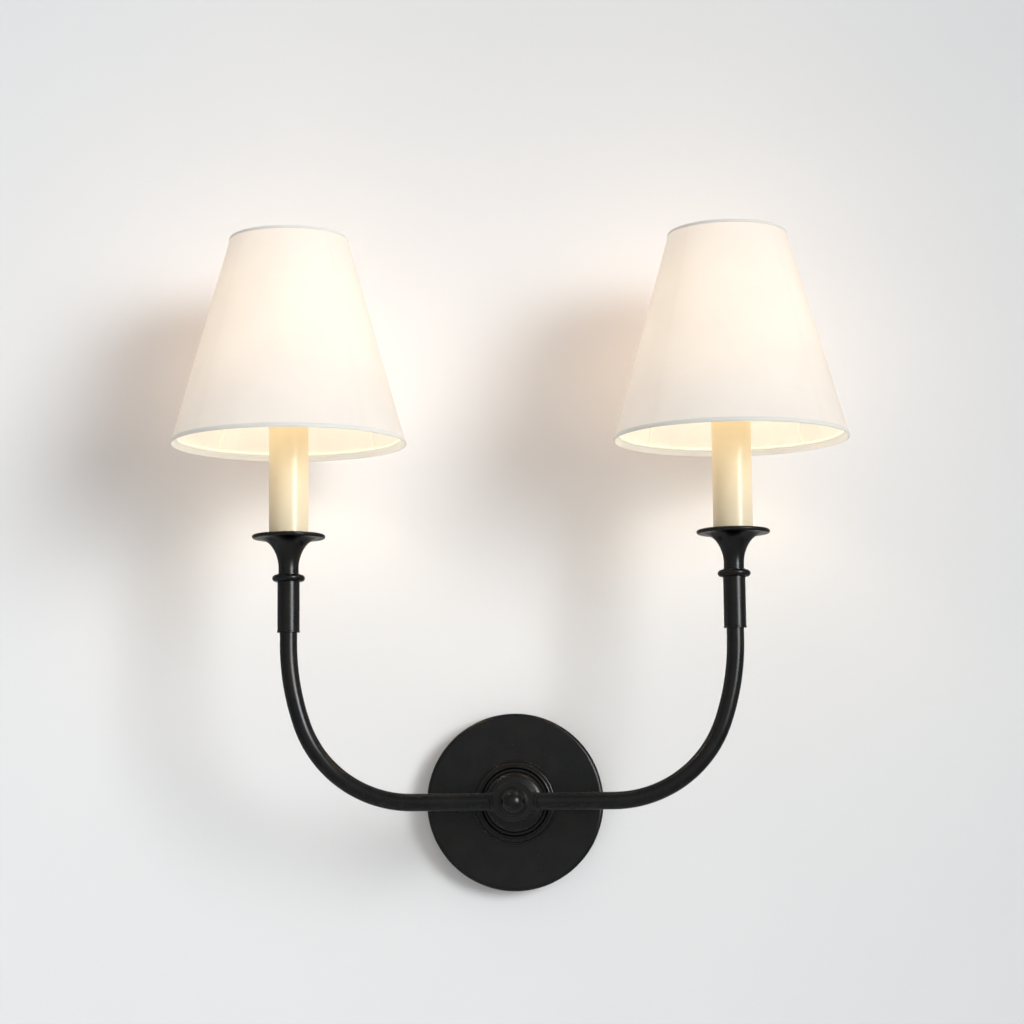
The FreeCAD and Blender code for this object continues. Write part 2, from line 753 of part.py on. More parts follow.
def make_arm(side):
    """Hollow arm that runs out of the hub, sweeps up and ends upright under the candle."""
    body = new_body("arm_" + side)
    path = new_sketch(body)
    draw(path, [
        ("arm_start", "0"),
        ("bend_start", "0", "left", "arm_bend_radius"),
        ("sweep_start", "sweep_start_height", "left", "arm_sweep_radius"),
        ("candle_place", "sweep_end_height"),
        ("candle_place", "arm_end_height"),
    ], closed=False)
    section = new_sketch(body, "YZ_Plane", "arm_start")
    draw_circle(section, "0", "0", "arm_diameter / 2")
    draw_circle(section, "0", "0", "arm_bore / 2")
    bend(body, section, path)
    thread = new_sketch(body, "YZ_Plane", "arm_start")
    draw_circle(thread, "0", "0", "arm_thread_diameter / 2")
    draw_circle(thread, "0", "0", "arm_bore / 2")
    end = pad(body, thread, "arm_thread_length")
    end.Reversed = True
    keep(at_hub(body, side))


def arm_collar(side):
    """Collar between the hub's flat and the arm's shoulder."""
    body = turned("arm_collar_" + side, [
        ("arm_thread_diameter / 2 + thread_gap", "collar_seat"),
        ("collar_diameter / 2", "collar_seat"),
        ("collar_diameter / 2", "arm_start - collar_length / 4"),
        ("collar_diameter / 2 - collar_length / 4", "arm_start"),
        ("arm_thread_diameter / 2 + thread_gap", "arm_start"),
    ])
    body.Placement = Placement(Vector(), Rotation(Vector(0, 1, 0), 90 * SIDES[side]))
    tie(body, "Placement.Base.y", "-arm_reach")
    return body


def make_ferrule(side):
    """Ferrule that slips over the arm's end, with a thin lip at its foot."""
    wide = "arm_diameter / 2 + slip_gap"
    lip = "ferrule_diameter / 2 + ferrule_lip"
    body = turned("ferrule_" + side, [
        (wide, "ferrule_bottom"),
        (lip, "ferrule_bottom"),
        (lip, "ferrule_bottom + ferrule_lip_height"),
        ("ferrule_diameter / 2", "ferrule_bottom + ferrule_lip_height + ferrule_lip"),
        ("ferrule_diameter / 2", "ferrule_top"),
        ("rod_hole", "ferrule_top"),
        ("rod_hole", "arm_end_height"),
        (wide, "arm_end_height"),
    ])
    keep(on_candle_axis(body, side))


def make_bead_ring(side):
    """Half round bead between two thin seats."""
    edge = "bead_diameter / 2 - bead_height / 2"
    low = "ferrule_top + bead_seat_height"
    high = "bead_top - bead_seat_height"
    seat = "bead_seat_diameter / 2"
    body = turned("bead_ring_" + side, [
        ("rod_hole", "ferrule_top"),
        (seat, "ferrule_top"),
        (seat, low),
        (edge, low, "left", "bead_height / 2"),
        ("bead_diameter / 2", low + " + bead_height / 2", "left", "bead_height / 2"),
        (edge, high),
        (seat, high),
        (seat, "bead_top"),
        ("rod_hole", "bead_top"),
    ])
    keep(on_candle_axis(body, side))


def make_drip_cup(side):
    """Turned cup: a neck that flares into a shallow pan with a rolled rim."""
    rim = "cup_diameter / 2"
    roll = "cup_rim_height / 2"
    body = turned("drip_cup_" + side, [
        ("rod_hole", "bead_top"),
        ("cup_neck_diameter / 2", "bead_top"),
        ("cup_neck_diameter / 2", "cup_neck_top", "right", "cup_flare_radius"),
        ("cup_flare_across", "cup_flare_top", "right", "cup_lip_radius"),
        ("cup_lip_across", "cup_lip_height"),
        (rim + " - " + roll, "cup_lip_height", "left", roll),
        (rim, "cup_lip_height + " + roll, "left", roll),
        (rim + " - " + roll, "cup_rim_top"),
        (rim + " - cup_rim_width", "cup_rim_top"),
        (rim + " - cup_rim_width - slip_gap * 4", "cup_seat + cup_pan_rise"),
        ("cup_seat_radius", "cup_seat"),
        ("rod_hole", "cup_seat"),
    ])
    keep(on_candle_axis(body, side))


def candle_rod(side):
    """Hollow rod that ties ferrule, bead and cup to the arm's end."""
    rod = turned("candle_rod_" + side, tube_points("rod_diameter / 2", "rod_bore / 2",
                                                   "arm_end_height", "candle_rod_top"))
    return on_candle_axis(rod, side)


def make_sleeve(side):
    """Candle sleeve, an open tube that stands in the cup."""
    wall = "sleeve_diameter / 2 - sleeve_wall"
    body = turned("candle_sleeve_" + side, [
        (wall, "cup_seat"),
        ("sleeve_diameter / 2", "cup_seat"),
        ("sleeve_diameter / 2", "sleeve_top - sleeve_wall / 2", "left", "sleeve_wall / 2"),
        ("sleeve_diameter / 2 - sleeve_wall / 2", "sleeve_top"),
        (wall, "sleeve_top"),
    ])
    keep(on_candle_axis(body, side))


def make_holder_leg(side):
    """Bracket with a ring foot under the nut and a strip that carries the lampholder."""
    body = new_body("holder_leg_" + side)
    foot = new_sketch(body, "XY_Plane", "cup_seat")
    draw_circle(foot, "0", "0", "leg_outside")
    draw_circle(foot, "0", "0", "rod_hole")
    pad(body, foot, "leg_base_thickness")
    strip = new_sketch(body, "XY_Plane", "cup_seat")
    draw_box(strip, "-leg_width / 2", "leg_inside", "leg_width / 2", "leg_outside")
    pad(body, strip, "holder_bottom + leg_overlap - cup_seat")
    hole = new_sketch(body)
    draw_circle(hole, "0", "holder_bottom + holder_screw_rise", "holder_screw_diameter / 2 + thread_gap")
    pocket_both_ways(body, hole, "2 * sleeve_diameter")
    keep(on_candle_axis(body, side))


def holder_screw(side):
    """Screw that holds the lampholder to its strip, with its head towards the wall."""
    body = turned("holder_screw_" + side, [
        ("0", "-(leg_outside + holder_head_height)"),
        ("holder_head_diameter / 2", "-(leg_outside + holder_head_height)"),
        ("holder_head_diameter / 2", "-leg_outside"),
        ("holder_screw_diameter / 2", "-leg_outside"),
        ("holder_screw_diameter / 2", "-(leg_outside - holder_screw_length)"),
        ("0", "-(leg_outside - holder_screw_length)"),
    ])
    on_wall_axis(body)
    tie(body, "Placement.Base.z", "holder_bottom + holder_screw_rise")
    return on_candle_axis(body, side)


def make_lampholder(side):
    """Lampholder body with a flat for its strip, its screw shell and its contact."""
    body = turned("lampholder_" + side, [
        ("0", "holder_bottom"),
        ("holder_diameter / 2", "holder_bottom"),
        ("holder_diameter / 2", "holder_top"),
        ("holder_bore", "holder_top"),
        ("holder_bore", "holder_floor"),
        ("0", "holder_floor"),
    ])
    flat = new_sketch(body, "XY_Plane", "holder_bottom")
    draw_box(flat, "-holder_diameter", "holder_flat", "holder_diameter", "holder_diameter")
    pocket_both_ways(body, flat, "3 * holder_length")
    hole = new_sketch(body, "XZ_Plane", "-holder_flat")
    draw_circle(hole, "0", "holder_bottom + holder_screw_rise", "holder_screw_diameter / 2 + thread_gap")
    pocket_both_ways(body, hole, "2 * holder_screw_length")
    keep(on_candle_axis(body, side))
    outside = "shell_diameter / 2"
    shell = turned("screw_shell_" + side, tube_points(outside, outside + " - shell_wall",
                                                      "holder_floor", "holder_floor + shell_length"))
    keep(on_candle_axis(shell, side))


def centre_contact(side):
    """Springy middle contact on the lampholder's floor."""
    body = turned("centre_contact_" + side, [
        ("0", "holder_floor"),
        ("contact_diameter / 2", "holder_floor"),
        ("contact_diameter / 2", "holder_floor + contact_height / 2"),
        ("contact_diameter / 4", "holder_floor + contact_height"),
        ("0", "holder_floor + contact_height"),
    ])
    return on_candle_axis(body, side)


def make_bulb(side):
    """Torpedo bulb: screw cap with its tip, thin glass and the filament stem inside."""
    cap_edge = "cap_diameter / 2"
    cap = turned("bulb_cap_" + side, [
        ("0", "cap_tip"),
        ("cap_tip_diameter / 2", "cap_tip"),
        ("cap_tip_diameter / 2", "cap_tip + cap_tip_height / 2"),
        (cap_edge, "cap_bottom"),
        (cap_edge, "cap_top"),
        (cap_edge + " - cap_wall", "cap_top"),
        (cap_edge + " - cap_wall", "cap_bottom + cap_wall"),
        ("0", "cap_bottom + cap_wall"),
    ])
    keep(on_candle_axis(cap, side))

    def glass_side(inset):
        """Points up one face of the glass: neck, cone, ball, cone and round tip."""
        ball = "(glass_diameter / 2 - %s)" % inset
        tip = "(glass_tip_diameter / 2 - %s)" % inset
        neck = "(glass_neck_diameter / 2 - %s)" % inset
        low = "(%s * cos(glass_neck_turn))" % ball
        low_height = "glass_belly - %s * sin(glass_neck_turn)" % ball
        run = "(%s - %s) / tan(glass_neck_turn)" % (low, neck)
        return [
            (neck, "glass_bottom"),
            (neck, low_height + " - " + run),
            (low, low_height, "left", ball),
            (ball + " * glass_lean", "glass_belly + %s * glass_taper" % ball),
            (tip + " * glass_lean", "glass_tip_middle + %s * glass_taper" % tip, "left", tip),
            ("0", "glass_tip_middle + " + tip),
        ]

    outside = glass_side("0")
    inside = glass_side("glass_wall")
    back = []
    for index in range(len(inside) - 1, -1, -1):
        arc = inside[index - 1][2:] if index > 0 else ()
        back.append(inside[index][:2] + (("right", arc[1]) if arc else ()))
    glass = turned("bulb_glass_" + side, outside + back)
    keep(on_candle_axis(glass, side))

    foot = "glass_neck_diameter / 2 - glass_wall - filament_foot_gap"
    filament = turned("bulb_filament_" + side, [
        ("0", "glass_bottom"),
        (foot, "glass_bottom"),
        (foot, "filament_foot_top"),
        ("filament_stem_diameter / 2", "filament_foot_top"),
        ("filament_stem_diameter / 2", "filament_stem_top"),
        ("filament_plate_diameter / 2", "filament_stem_top + filament_plate_height"),
        ("0", "filament_stem_top + filament_plate_height"),
    ])
    rod = new_sketch(filament, "XY_Plane", "filament_stem_top")
    draw_circle(rod, "filament_rod_circle / 2", "0", "filament_rod_diameter / 2")
    rods = repeat_round(filament, pad(filament, rod, "filament_rod_length"), FILAMENT_COUNT)
    filament.Tip = rods
    plate = new_sketch(filament, "XY_Plane", "filament_stem_top + filament_rod_length")
    draw_circle(plate, "0", "0", "filament_plate_diameter / 2")
    pad(filament, plate, "filament_plate_height")
    keep(on_candle_axis(filament, side))


def repeat_round(body, feature, count):
    """Repeat a feature evenly about the body's Z axis."""
    pattern = body.newObject("PartDesign::PolarPattern", body.Name + "_pattern")
    pattern.Originals = [feature]
    pattern.Axis = (origin_plane(body, "Z_Axis"), [""])
    pattern.Angle = 360
    pattern.Occurrences = count
    body.Tip = pattern
    return pattern


def make_bulb_clip(side):
    """Two crossed wire hoops over the bulb, with an eye for the shade's bridge on top."""
    body = new_body("bulb_clip_" + side)
    for role in ("XZ_Plane", "YZ_Plane"):
        path = new_sketch(body, role)
        draw(path, [
            ("clip_radius", "clip_leg_end"),
            ("clip_radius", "clip_shoulder", "left", "clip_radius"),
            ("0", "clip_top", "left", "clip_radius"),
            ("-clip_radius", "clip_shoulder"),
            ("-clip_radius", "clip_leg_end"),
        ], closed=False)
        section = new_sketch(body, "XY_Plane", "clip_leg_end")
        place = ("clip_radius", "0") if role == "XZ_Plane" else ("0", "clip_radius")
        draw_circle(section, place[0], place[1], "clip_wire_diameter / 2")
        bend(body, section, path)
    eye = new_sketch(body, "YZ_Plane", "-eye_length / 2")
    draw_circle(eye, "0", "eye_height", "eye_diameter / 2")
    pad(body, eye, "eye_length")
    bore = new_sketch(body, "YZ_Plane")
    draw_circle(bore, "0", "eye_height", "bridge_wire / 2 + eye_clearance")
    pocket_both_ways(body, bore, "2 * eye_length")
    keep(on_candle_axis(body, side))


def make_shade_bridge(side):
    """Bent wire across the shade's head, which passes through the clip's eye."""
    body = new_body("shade_bridge_" + side)
    path = new_sketch(body)
    reach = "head_ring_radius"
    elbow = "head_ring_radius - bridge_bend_radius"
    rise = "eye_height + bridge_bend_radius"
    draw(path, [
        (reach, "bridge_top"),
        (reach, rise, "right", "bridge_bend_radius"),
        (elbow, "eye_height"),
        ("-(" + elbow + ")", "eye_height", "right", "bridge_bend_radius"),
        ("-" + reach, rise),
        ("-" + reach, "bridge_top"),
    ], closed=False)
    section = new_sketch(body, "XY_Plane", "bridge_top")
    draw_circle(section, reach, "0", "bridge_wire / 2")
    bend(body, section, path)
    keep(on_candle_axis(body, side))


def shade_ring(label, radius, height, side):
    """Wire ring of the shade's frame."""
    ring = doc.addObject("Part::Torus", label + "_" + side)
    ring.Label = label + "_" + side
    tie(ring, "Radius1", radius)
    tie(ring, "Radius2", "shade_ring_wire / 2")
    tie(ring, "Placement.Base.z", height)
    keep(on_candle_axis(ring, side))


def make_shade_ribs(side):
    """Straight ribs between the two rings, lying against the inside of the fabric."""
    body = new_body("shade_ribs_" + side)
    path = new_sketch(body)
    draw(path, [("rib_foot_radius", "rib_bottom"), ("rib_head_radius", "rib_top")], closed=False)
    section = new_sketch(body, "XY_Plane", "rib_bottom")
    draw_circle(section, "rib_foot_radius", "0", "rib_wire / 2")
    rib = bend(body, section, path)
    repeat_round(body, rib, RIB_COUNT)
    body.Placement = Placement(Vector(), Rotation(Vector(0, 0, 1), 180 / RIB_COUNT))
    keep(on_candle_axis(body, side))


def make_shade_skin(side):
    """Cone of fabric and the tapes that are folded over its two edges."""
    fabric = turned("shade_fabric_" + side, [
        ("fabric_foot_inside", "shade_bottom + tape_thickness"),
        ("fabric_foot", "shade_bottom + tape_thickness"),
        ("fabric_head", "shade_top - tape_thickness"),
        ("fabric_head - fabric_thickness", "shade_top - tape_thickness"),
    ])
    keep(on_candle_axis(fabric, side))
    edges = (
        ("shade_foot_tape_", "shade_foot_radius", "shade_bottom", "", "bottom_tape_width"),
        ("shade_head_tape_", "shade_head_radius", "shade_top", "-", "top_tape_width"),
    )
    for label, outside, edge, way, width in edges:
        def point(inward, rise):
            """A point a distance in from the cone's outside and a height above its edge."""
            up = "%s1 * (%s)" % (way, rise)
            return (outside + " - (" + inward + ") - " + up + " * shade_slope", edge + " + " + up)
        inner = "tape_thickness + fabric_thickness + tape_gap"
        tape = turned(label + side, [
            point("0", "0"),
            point("0", width),
            point("tape_leg", width),
            point("tape_leg", "tape_leg"),
            point(inner, "tape_leg"),
            point(inner, width),
            point(inner + " + tape_leg", width),
            point(inner + " + tape_leg", "0"),
        ])
        keep(on_candle_axis(tape, side))


def make_lead(side):
    """Flexible lead from the terminal block through rod, hub and arm to the lampholder."""
    way = SIDES[side]
    spread = number("lead_spread / 2")
    hub_bend = number("lead_hub_bend")
    wall_bend = number("lead_wall_bend")
    wall_turn = number("arm_reach - rod_rear + lead_past_rod")
    candle = number("candle_place")
    bend_radius = number("arm_bend_radius")
    sweep_radius = number("arm_sweep_radius")
    half_turn = math.radians(number("arm_sweep_turn") / 2)
    bend_angle = math.radians(45 + number("arm_sweep_turn") / 2)
    bend_middle = (number("bend_start"), bend_radius)
    sweep_middle = (candle - sweep_radius, number("sweep_end_height"))
    slant = math.sqrt(0.5)

    def spot(x, y, z):
        return Vector(way * x, y - number("arm_reach"), z)

    block = spot(spread, wall_turn + wall_bend, -number("block_place"))
    wall_low = spot(spread, wall_turn + wall_bend, -wall_bend)
    wall_mid = spot(spread, wall_turn + wall_bend * slant, -wall_bend * (1 - slant))
    wall_top = spot(spread, wall_turn, 0)
    hub_in = spot(spread, hub_bend, 0)
    hub_mid = spot(spread + hub_bend * (1 - slant), hub_bend * (1 - slant), 0)
    hub_out = spot(spread + hub_bend, 0, 0)
    bend_in = spot(bend_middle[0], 0, 0)
    bend_mid = spot(bend_middle[0] + bend_radius * math.cos(bend_angle), 0,
                    bend_middle[1] - bend_radius * math.sin(bend_angle))
    sweep_in = spot(number("sweep_start"), 0, number("sweep_start_height"))
    sweep_mid = spot(sweep_middle[0] + sweep_radius * math.cos(half_turn), 0,
                     sweep_middle[1] - sweep_radius * math.sin(half_turn))
    sweep_out = spot(candle, 0, sweep_middle[1])
    holder = spot(candle, 0, number("holder_bottom"))
    route = [
        Part.LineSegment(block, wall_low),
        Part.Arc(wall_low, wall_mid, wall_top),
        Part.LineSegment(wall_top, hub_in),
        Part.Arc(hub_in, hub_mid, hub_out),
        Part.LineSegment(hub_out, bend_in),
        Part.Arc(bend_in, bend_mid, sweep_in),
        Part.Arc(sweep_in, sweep_mid, sweep_out),
        Part.LineSegment(sweep_out, holder),
    ]
    path = Part.Wire([stretch.toShape() for stretch in route])
    radius = number("lead_diameter / 2")
    section = Part.Wire([Part.Circle(block, Vector(0, 0, 1), radius).toShape()])
    lead = doc.addObject("Part::Feature", "lead_" + side)
    lead.Label = "lead_" + side
    lead.Shape = path.makePipeShell([section], True, False)
    expected = math.pi * radius * radius * path.Length
    print("%s: %.1f mm long, volume %.4f of section times length"
          % (lead.Label, path.Length, lead.Shape.Volume / expected))
    keep(lead)


def check_pieces():
    """Stop if a feature failed or a piece has no sound solid."""
    for thing in doc.Objects:
        if "Invalid" in thing.State or "Error" in thing.State:
            raise RuntimeError("%s did not compute: %s" % (thing.Label, thing.State))
    for piece in pieces:
        shape = piece.Shape
        if shape.isNull() or not shape.isValid() or not shape.Solids:
            raise RuntimeError(piece.Label + " has no sound solid")
        if min(solid.Volume for solid in shape.Solids) <= 0:
            raise RuntimeError(piece.Label + " is inside out")


doc = FreeCAD.newDocument("double_arm_sconce")
sheet = make_sheet()
pieces = []

make_wall_bracket()
make_rim_screws()
make_earth_screw()
make_terminal_block()
make_backplate()
make_tie_rod()
make_canopy_boss()
make_stem()
make_hub()
for hand in SIDES:
    make_arm(hand)
    make_ferrule(hand)
    make_bead_ring(hand)
    make_drip_cup(hand)
    make_sleeve(hand)
    make_holder_leg(hand)
    make_lampholder(hand)
    make_lead(hand)
    make_bulb(hand)
    make_bulb_clip(hand)
    make_shade_bridge(hand)
    shade_ring("shade_head_ring", "head_ring_radius", "head_ring_height", hand)
    shade_ring("shade_foot_ring", "foot_ring_radius", "foot_ring_height", hand)
    make_shade_ribs(hand)
    make_shade_skin(hand)
keep_pair("arm_collars", arm_collar("left"), arm_collar("right"))
keep_pair("candle_rods", candle_rod("left"), candle_rod("right"))
keep_pair("candle_locknuts",
          on_candle_axis(hexagon_nut("candle_locknut_left", "leg_base_top"), "left"),
          on_candle_axis(hexagon_nut("candle_locknut_right", "leg_base_top"), "right"))
keep_pair("holder_screws", holder_screw("left"), holder_screw("right"))
keep_pair("centre_contacts", centre_contact("left"), centre_contact("right"))

doc.recompute()
check_pieces()
os.makedirs("parts", exist_ok=True)
for piece in pieces:
    piece.Shape.exportStep(os.path.join("parts", piece.Label + ".step"))
print("wrote %d pieces" % len(pieces))
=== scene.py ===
import math

import bpy
from bpy.props import FloatProperty, FloatVectorProperty, IntProperty, PointerProperty
from mathutils import Matrix, Vector


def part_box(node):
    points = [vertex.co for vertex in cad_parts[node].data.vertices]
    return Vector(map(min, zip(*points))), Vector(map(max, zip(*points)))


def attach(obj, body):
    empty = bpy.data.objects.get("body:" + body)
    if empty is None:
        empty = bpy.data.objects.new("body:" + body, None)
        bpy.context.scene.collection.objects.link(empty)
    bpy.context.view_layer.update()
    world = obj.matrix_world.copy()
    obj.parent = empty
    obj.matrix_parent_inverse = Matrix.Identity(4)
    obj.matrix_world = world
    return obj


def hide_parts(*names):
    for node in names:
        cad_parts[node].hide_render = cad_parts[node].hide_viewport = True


bl_info = {
    "name": "Double arm wall sconce",
    "version": (1, 0, 0),
    "blender": (4, 5, 0),
    "location": "View3D > Sidebar > Sconce",
    "description": "Dresses the sconce's frame with its shades, finishes and stage",
    "category": "Object",
}

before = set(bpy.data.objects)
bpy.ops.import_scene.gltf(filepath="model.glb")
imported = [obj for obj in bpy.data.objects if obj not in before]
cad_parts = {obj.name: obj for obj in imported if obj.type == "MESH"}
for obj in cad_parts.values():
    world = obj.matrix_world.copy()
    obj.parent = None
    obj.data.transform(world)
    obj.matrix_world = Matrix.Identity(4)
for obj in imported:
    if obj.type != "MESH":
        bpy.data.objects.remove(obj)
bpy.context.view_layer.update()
SIDES = ("left", "right")
RIBS = 4

# Modelling, in metres where they are lengths.
TAPE_THICKNESS = 0.0004
ROLL_POINTS = 18
ROLL_FLUSH_SHARE = 0.6
MERGE_DISTANCE = 0.00001
LEVEL_TOLERANCE = 0.001
SMOOTH_ANGLE = math.radians(40)

# Room and lights.
ROOM_SIZE = 8.0
WALL_GAP = 0.0004
FLOOR_HEIGHT = -1.4
SKY_TINT = (0.97, 0.98, 1.0, 1.0)
SKY_STRENGTH = 0.40
LAMP_WATTS = 0.13
LAMP_RADIUS = 0.014
CLOTH_GLOW_WATTS = 0.16
CLOTH_GLOW_SHIFT = Vector((0.03, 0, 0))
POOL_WATTS = 0.6
POOL_FROM_WALL = 0.45
POOL_HEIGHT_SHARE = 0.4
SOFT_LAMP_RADIUS = 0.05

# Camera, fitted to the photo's frame.
PHOTO_WIDTH_PIXELS = 1024
FOCAL_LENGTH_PIXELS = 2431
SENSOR_WIDTH_MM = 36.0
CAMERA_PLACE = (0.0232, -1.649, -0.0067)
CAMERA_PITCH = math.radians(7.04)
CAMERA_TURN = math.radians(-0.82)
CAMERA_LEAN = math.radians(-0.58)

# Finishes with no features of their own: dark and light colour, roughness, metallic.
PLAIN_FINISHES = {
    "zinc_steel": ((0.38, 0.38, 0.36), (0.52, 0.52, 0.5), 0.38, 1.0),
    "brass_screws": ((0.5, 0.34, 0.12), (0.66, 0.48, 0.2), 0.32, 1.0),
    "block_plastic": ((0.72, 0.72, 0.7), (0.78, 0.78, 0.76), 0.45, 0.0),
    "holder_plastic": ((0.02, 0.02, 0.02), (0.03, 0.03, 0.03), 0.4, 0.0),
    "lead_sheath": ((0.6, 0.58, 0.52), (0.68, 0.66, 0.6), 0.55, 0.0),
    "bulb_metal": ((0.55, 0.52, 0.46), (0.7, 0.67, 0.6), 0.25, 1.0),
    "clip_wire": ((0.5, 0.47, 0.4), (0.64, 0.6, 0.52), 0.3, 1.0),
}


def width_of(node):
    """Half the width of a round node that stands upright."""
    low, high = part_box(node)
    return (high.x - low.x) / 2


def foot_of(node):
    """Height of a node's lowest point."""
    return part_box(node)[0].z


def head_of(node):
    """Height of a node's highest point."""
    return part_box(node)[1].z


def axis_of(side):
    """A point on the candle axis of one side, at the height of the hub's axis."""
    low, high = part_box("candle_sleeve_" + side)
    middle = (low + high) / 2
    return Vector((middle.x, middle.y, 0))


def length(name, description, default):
    """A length that a user can change, in metres."""
    return FloatProperty(name=name, description=description, default=default,
                         unit="LENGTH", precision=5)


def colour(name, description, default):
    """A colour that a user can change, as linear values."""
    return FloatVectorProperty(name=name, description=description, default=default, size=3,
                               subtype="COLOR", min=0.0, max=1.0)


class SconceSizes(bpy.types.PropertyGroup):
    """Sizes of the pieces that are modelled over the frame."""

    cloth_foot_radius: length("Cloth foot radius", "Outer radius of the cloth at its foot",
                              width_of("shade_fabric_left"))
    cloth_head_radius: length("Cloth head radius", "Outer radius of the cloth at its head",
                              width_of("shade_head_tape_left") - TAPE_THICKNESS)
    cloth_foot: length("Cloth foot height", "Height of the cloth's lower edge",
                       foot_of("shade_fabric_left"))
    cloth_head: length("Cloth head height", "Height of the cloth's upper edge",
                       head_of("shade_fabric_left"))
    cloth_thickness: length("Cloth thickness", "Linen and its lining together", 0.0008)
    foot_roll_height: length("Foot roll height", "Height of the rolled band at the foot", 0.0032)
    foot_roll_depth: length("Foot roll depth", "Thickness of the rolled band at the foot", 0.0019)
    head_roll_height: length("Head roll height", "Height of the rolled band at the head", 0.0022)
    head_roll_depth: length("Head roll depth", "Thickness of the rolled band at the head", 0.0017)
    thread_pitch: length("Thread pitch", "Distance between the linen's threads", 0.00045)
    around: IntProperty(name="Steps around", description="Facets round a turned piece",
                        default=160, min=24)
    rows: IntProperty(name="Rows", description="Rows of faces up the cloth", default=24, min=2)


class SconceColours(bpy.types.PropertyGroup):
    """Colours of the finishes."""

    bronze: colour("Bronze", "Dark ground of the metal finish", (0.0290, 0.0295, 0.0300))
    bronze_warm: colour("Warm bronze", "Brown that shows through the metal finish",
                        (0.0345, 0.0330, 0.0315))
    linen: colour("Linen", "Colour of the shade cloth", (0.38, 0.377, 0.37))
    # Painted light: the two linen glow colours are emission that paints the lamplight coming
    # through the cloth.
    linen_glow: colour("Linen glow", "Light that comes through the cloth at the bulb",
                       (0.78, 0.635, 0.49))
    linen_glow_low: colour("Low linen glow", "Light that comes through at the foot",
                           (0.565, 0.49, 0.41))
    linen_sheen: colour("Linen sheen", "Tint of the fibres' shine towards the shade's sides",
                        (1.0, 0.86, 0.70))
    lining: colour("Lining", "Colour of the shade's inside", (0.78, 0.75, 0.69))
    # Painted light: the lining glow is emission that paints lamplight on the shade's inside, on top
    # of the real lamp's light.
    lining_glow: colour("Lining glow", "Lamplight held in the lining", (0.22, 0.225, 0.215))
    tape: colour("Edge tape", "Colour of the rolled edges", (0.62, 0.61, 0.575))
    # Painted light: the tape glow is emission that paints lamplight coming through the rolled
    # edges.
    tape_glow: colour("Tape glow", "Light that comes through the rolled edges", (0.19, 0.18, 0.155))
    enamel: colour("Enamel", "Colour of the shade's wire frame", (0.80, 0.79, 0.75))
    # Painted light: the enamel glow is emission that paints lamplight on the shade's wire frame.
    enamel_glow: colour("Enamel glow", "Lamplight held in the wire frame", (0.26, 0.22, 0.16))
    ivory: colour("Ivory", "Colour of the candle sleeves", (0.74, 0.645, 0.46))
    # Painted light: the ivory glow is emission that paints lamplight on the top of the sleeves.
    ivory_glow: colour("Ivory glow", "Lamplight at the top of the sleeves", (0.33, 0.20, 0.06))
    wall: colour("Wall", "Colour of the wall and floor", (0.80, 0.80, 0.80))
    lamplight: colour("Lamplight", "Colour of the light inside the shades", (1.0, 0.82, 0.60))
    clothlight: colour("Clothlight", "Colour of the light that leaves through the cloth",
                       (1.0, 0.58, 0.28))
    poollight: colour("Pool light", "Colour of the lamplight that the room gives back",
                      (1.0, 0.98, 0.92))


def sizes():
    """The scene's sizes."""
    return bpy.context.scene.sconce_sizes


def colours():
    """The scene's colours."""
    return bpy.context.scene.sconce_colours


# ---------------------------------------------------------------- node tools

def new_group(name, inputs, outputs):
    """Start a node group with named sockets."""
    group = bpy.data.node_groups.new(name, "ShaderNodeTree")
    for socket_name, kind, default in inputs:
        socket = group.interface.new_socket(socket_name, in_out="INPUT", socket_type=kind)
        if default is not None:
            socket.default_value = default
    for socket_name, kind in outputs:
        group.interface.new_socket(socket_name, in_out="OUTPUT", socket_type=kind)
    return group, group.nodes.new("NodeGroupInput"), group.nodes.new("NodeGroupOutput")


def math_node(tree, operation, first, second=None, third=None):
    """Add a Math node and return its output."""
    node = tree.nodes.new("ShaderNodeMath")
    node.operation = operation
    for place, value in enumerate((first, second, third)):
        if value is None:
            continue
        if isinstance(value, (int, float)):
            node.inputs[place].default_value = value
        else:
            tree.links.new(value, node.inputs[place])
    return node.outputs[0]


def blend_colours(tree, factor, first, second):
    """Mix two colours, or colour sockets, by a factor socket."""
    node = tree.nodes.new("ShaderNodeMix")
    node.data_type = "RGBA"
    tree.links.new(factor, node.inputs["Factor"])
    for socket, value in ((node.inputs[6], first), (node.inputs[7], second)):
        if hasattr(value, "is_output"):
            tree.links.new(value, socket)
        else:
            socket.default_value = (*value, 1.0)
    return node.outputs[2]


def remap(tree, value, low, high, to_low, to_high, smooth=False):
    """Map a value from one range to another."""
    node = tree.nodes.new("ShaderNodeMapRange")
    if smooth:
        node.interpolation_type = "SMOOTHSTEP"
    tree.links.new(value, node.inputs["Value"])
    for name, number in (("From Min", low), ("From Max", high),
                         ("To Min", to_low), ("To Max", to_high)):
        node.inputs[name].default_value = number
    return node.outputs["Result"]


def noise(tree, vector, scale, detail):
    """A noise texture's value; scale is a number or a socket."""
    node = tree.nodes.new("ShaderNodeTexNoise")
    node.inputs["Detail"].default_value = detail
    tree.links.new(vector, node.inputs["Vector"])
    if isinstance(scale, (int, float)):
        node.inputs["Scale"].default_value = scale
    else:
        tree.links.new(scale, node.inputs["Scale"])
    return node.outputs[0]


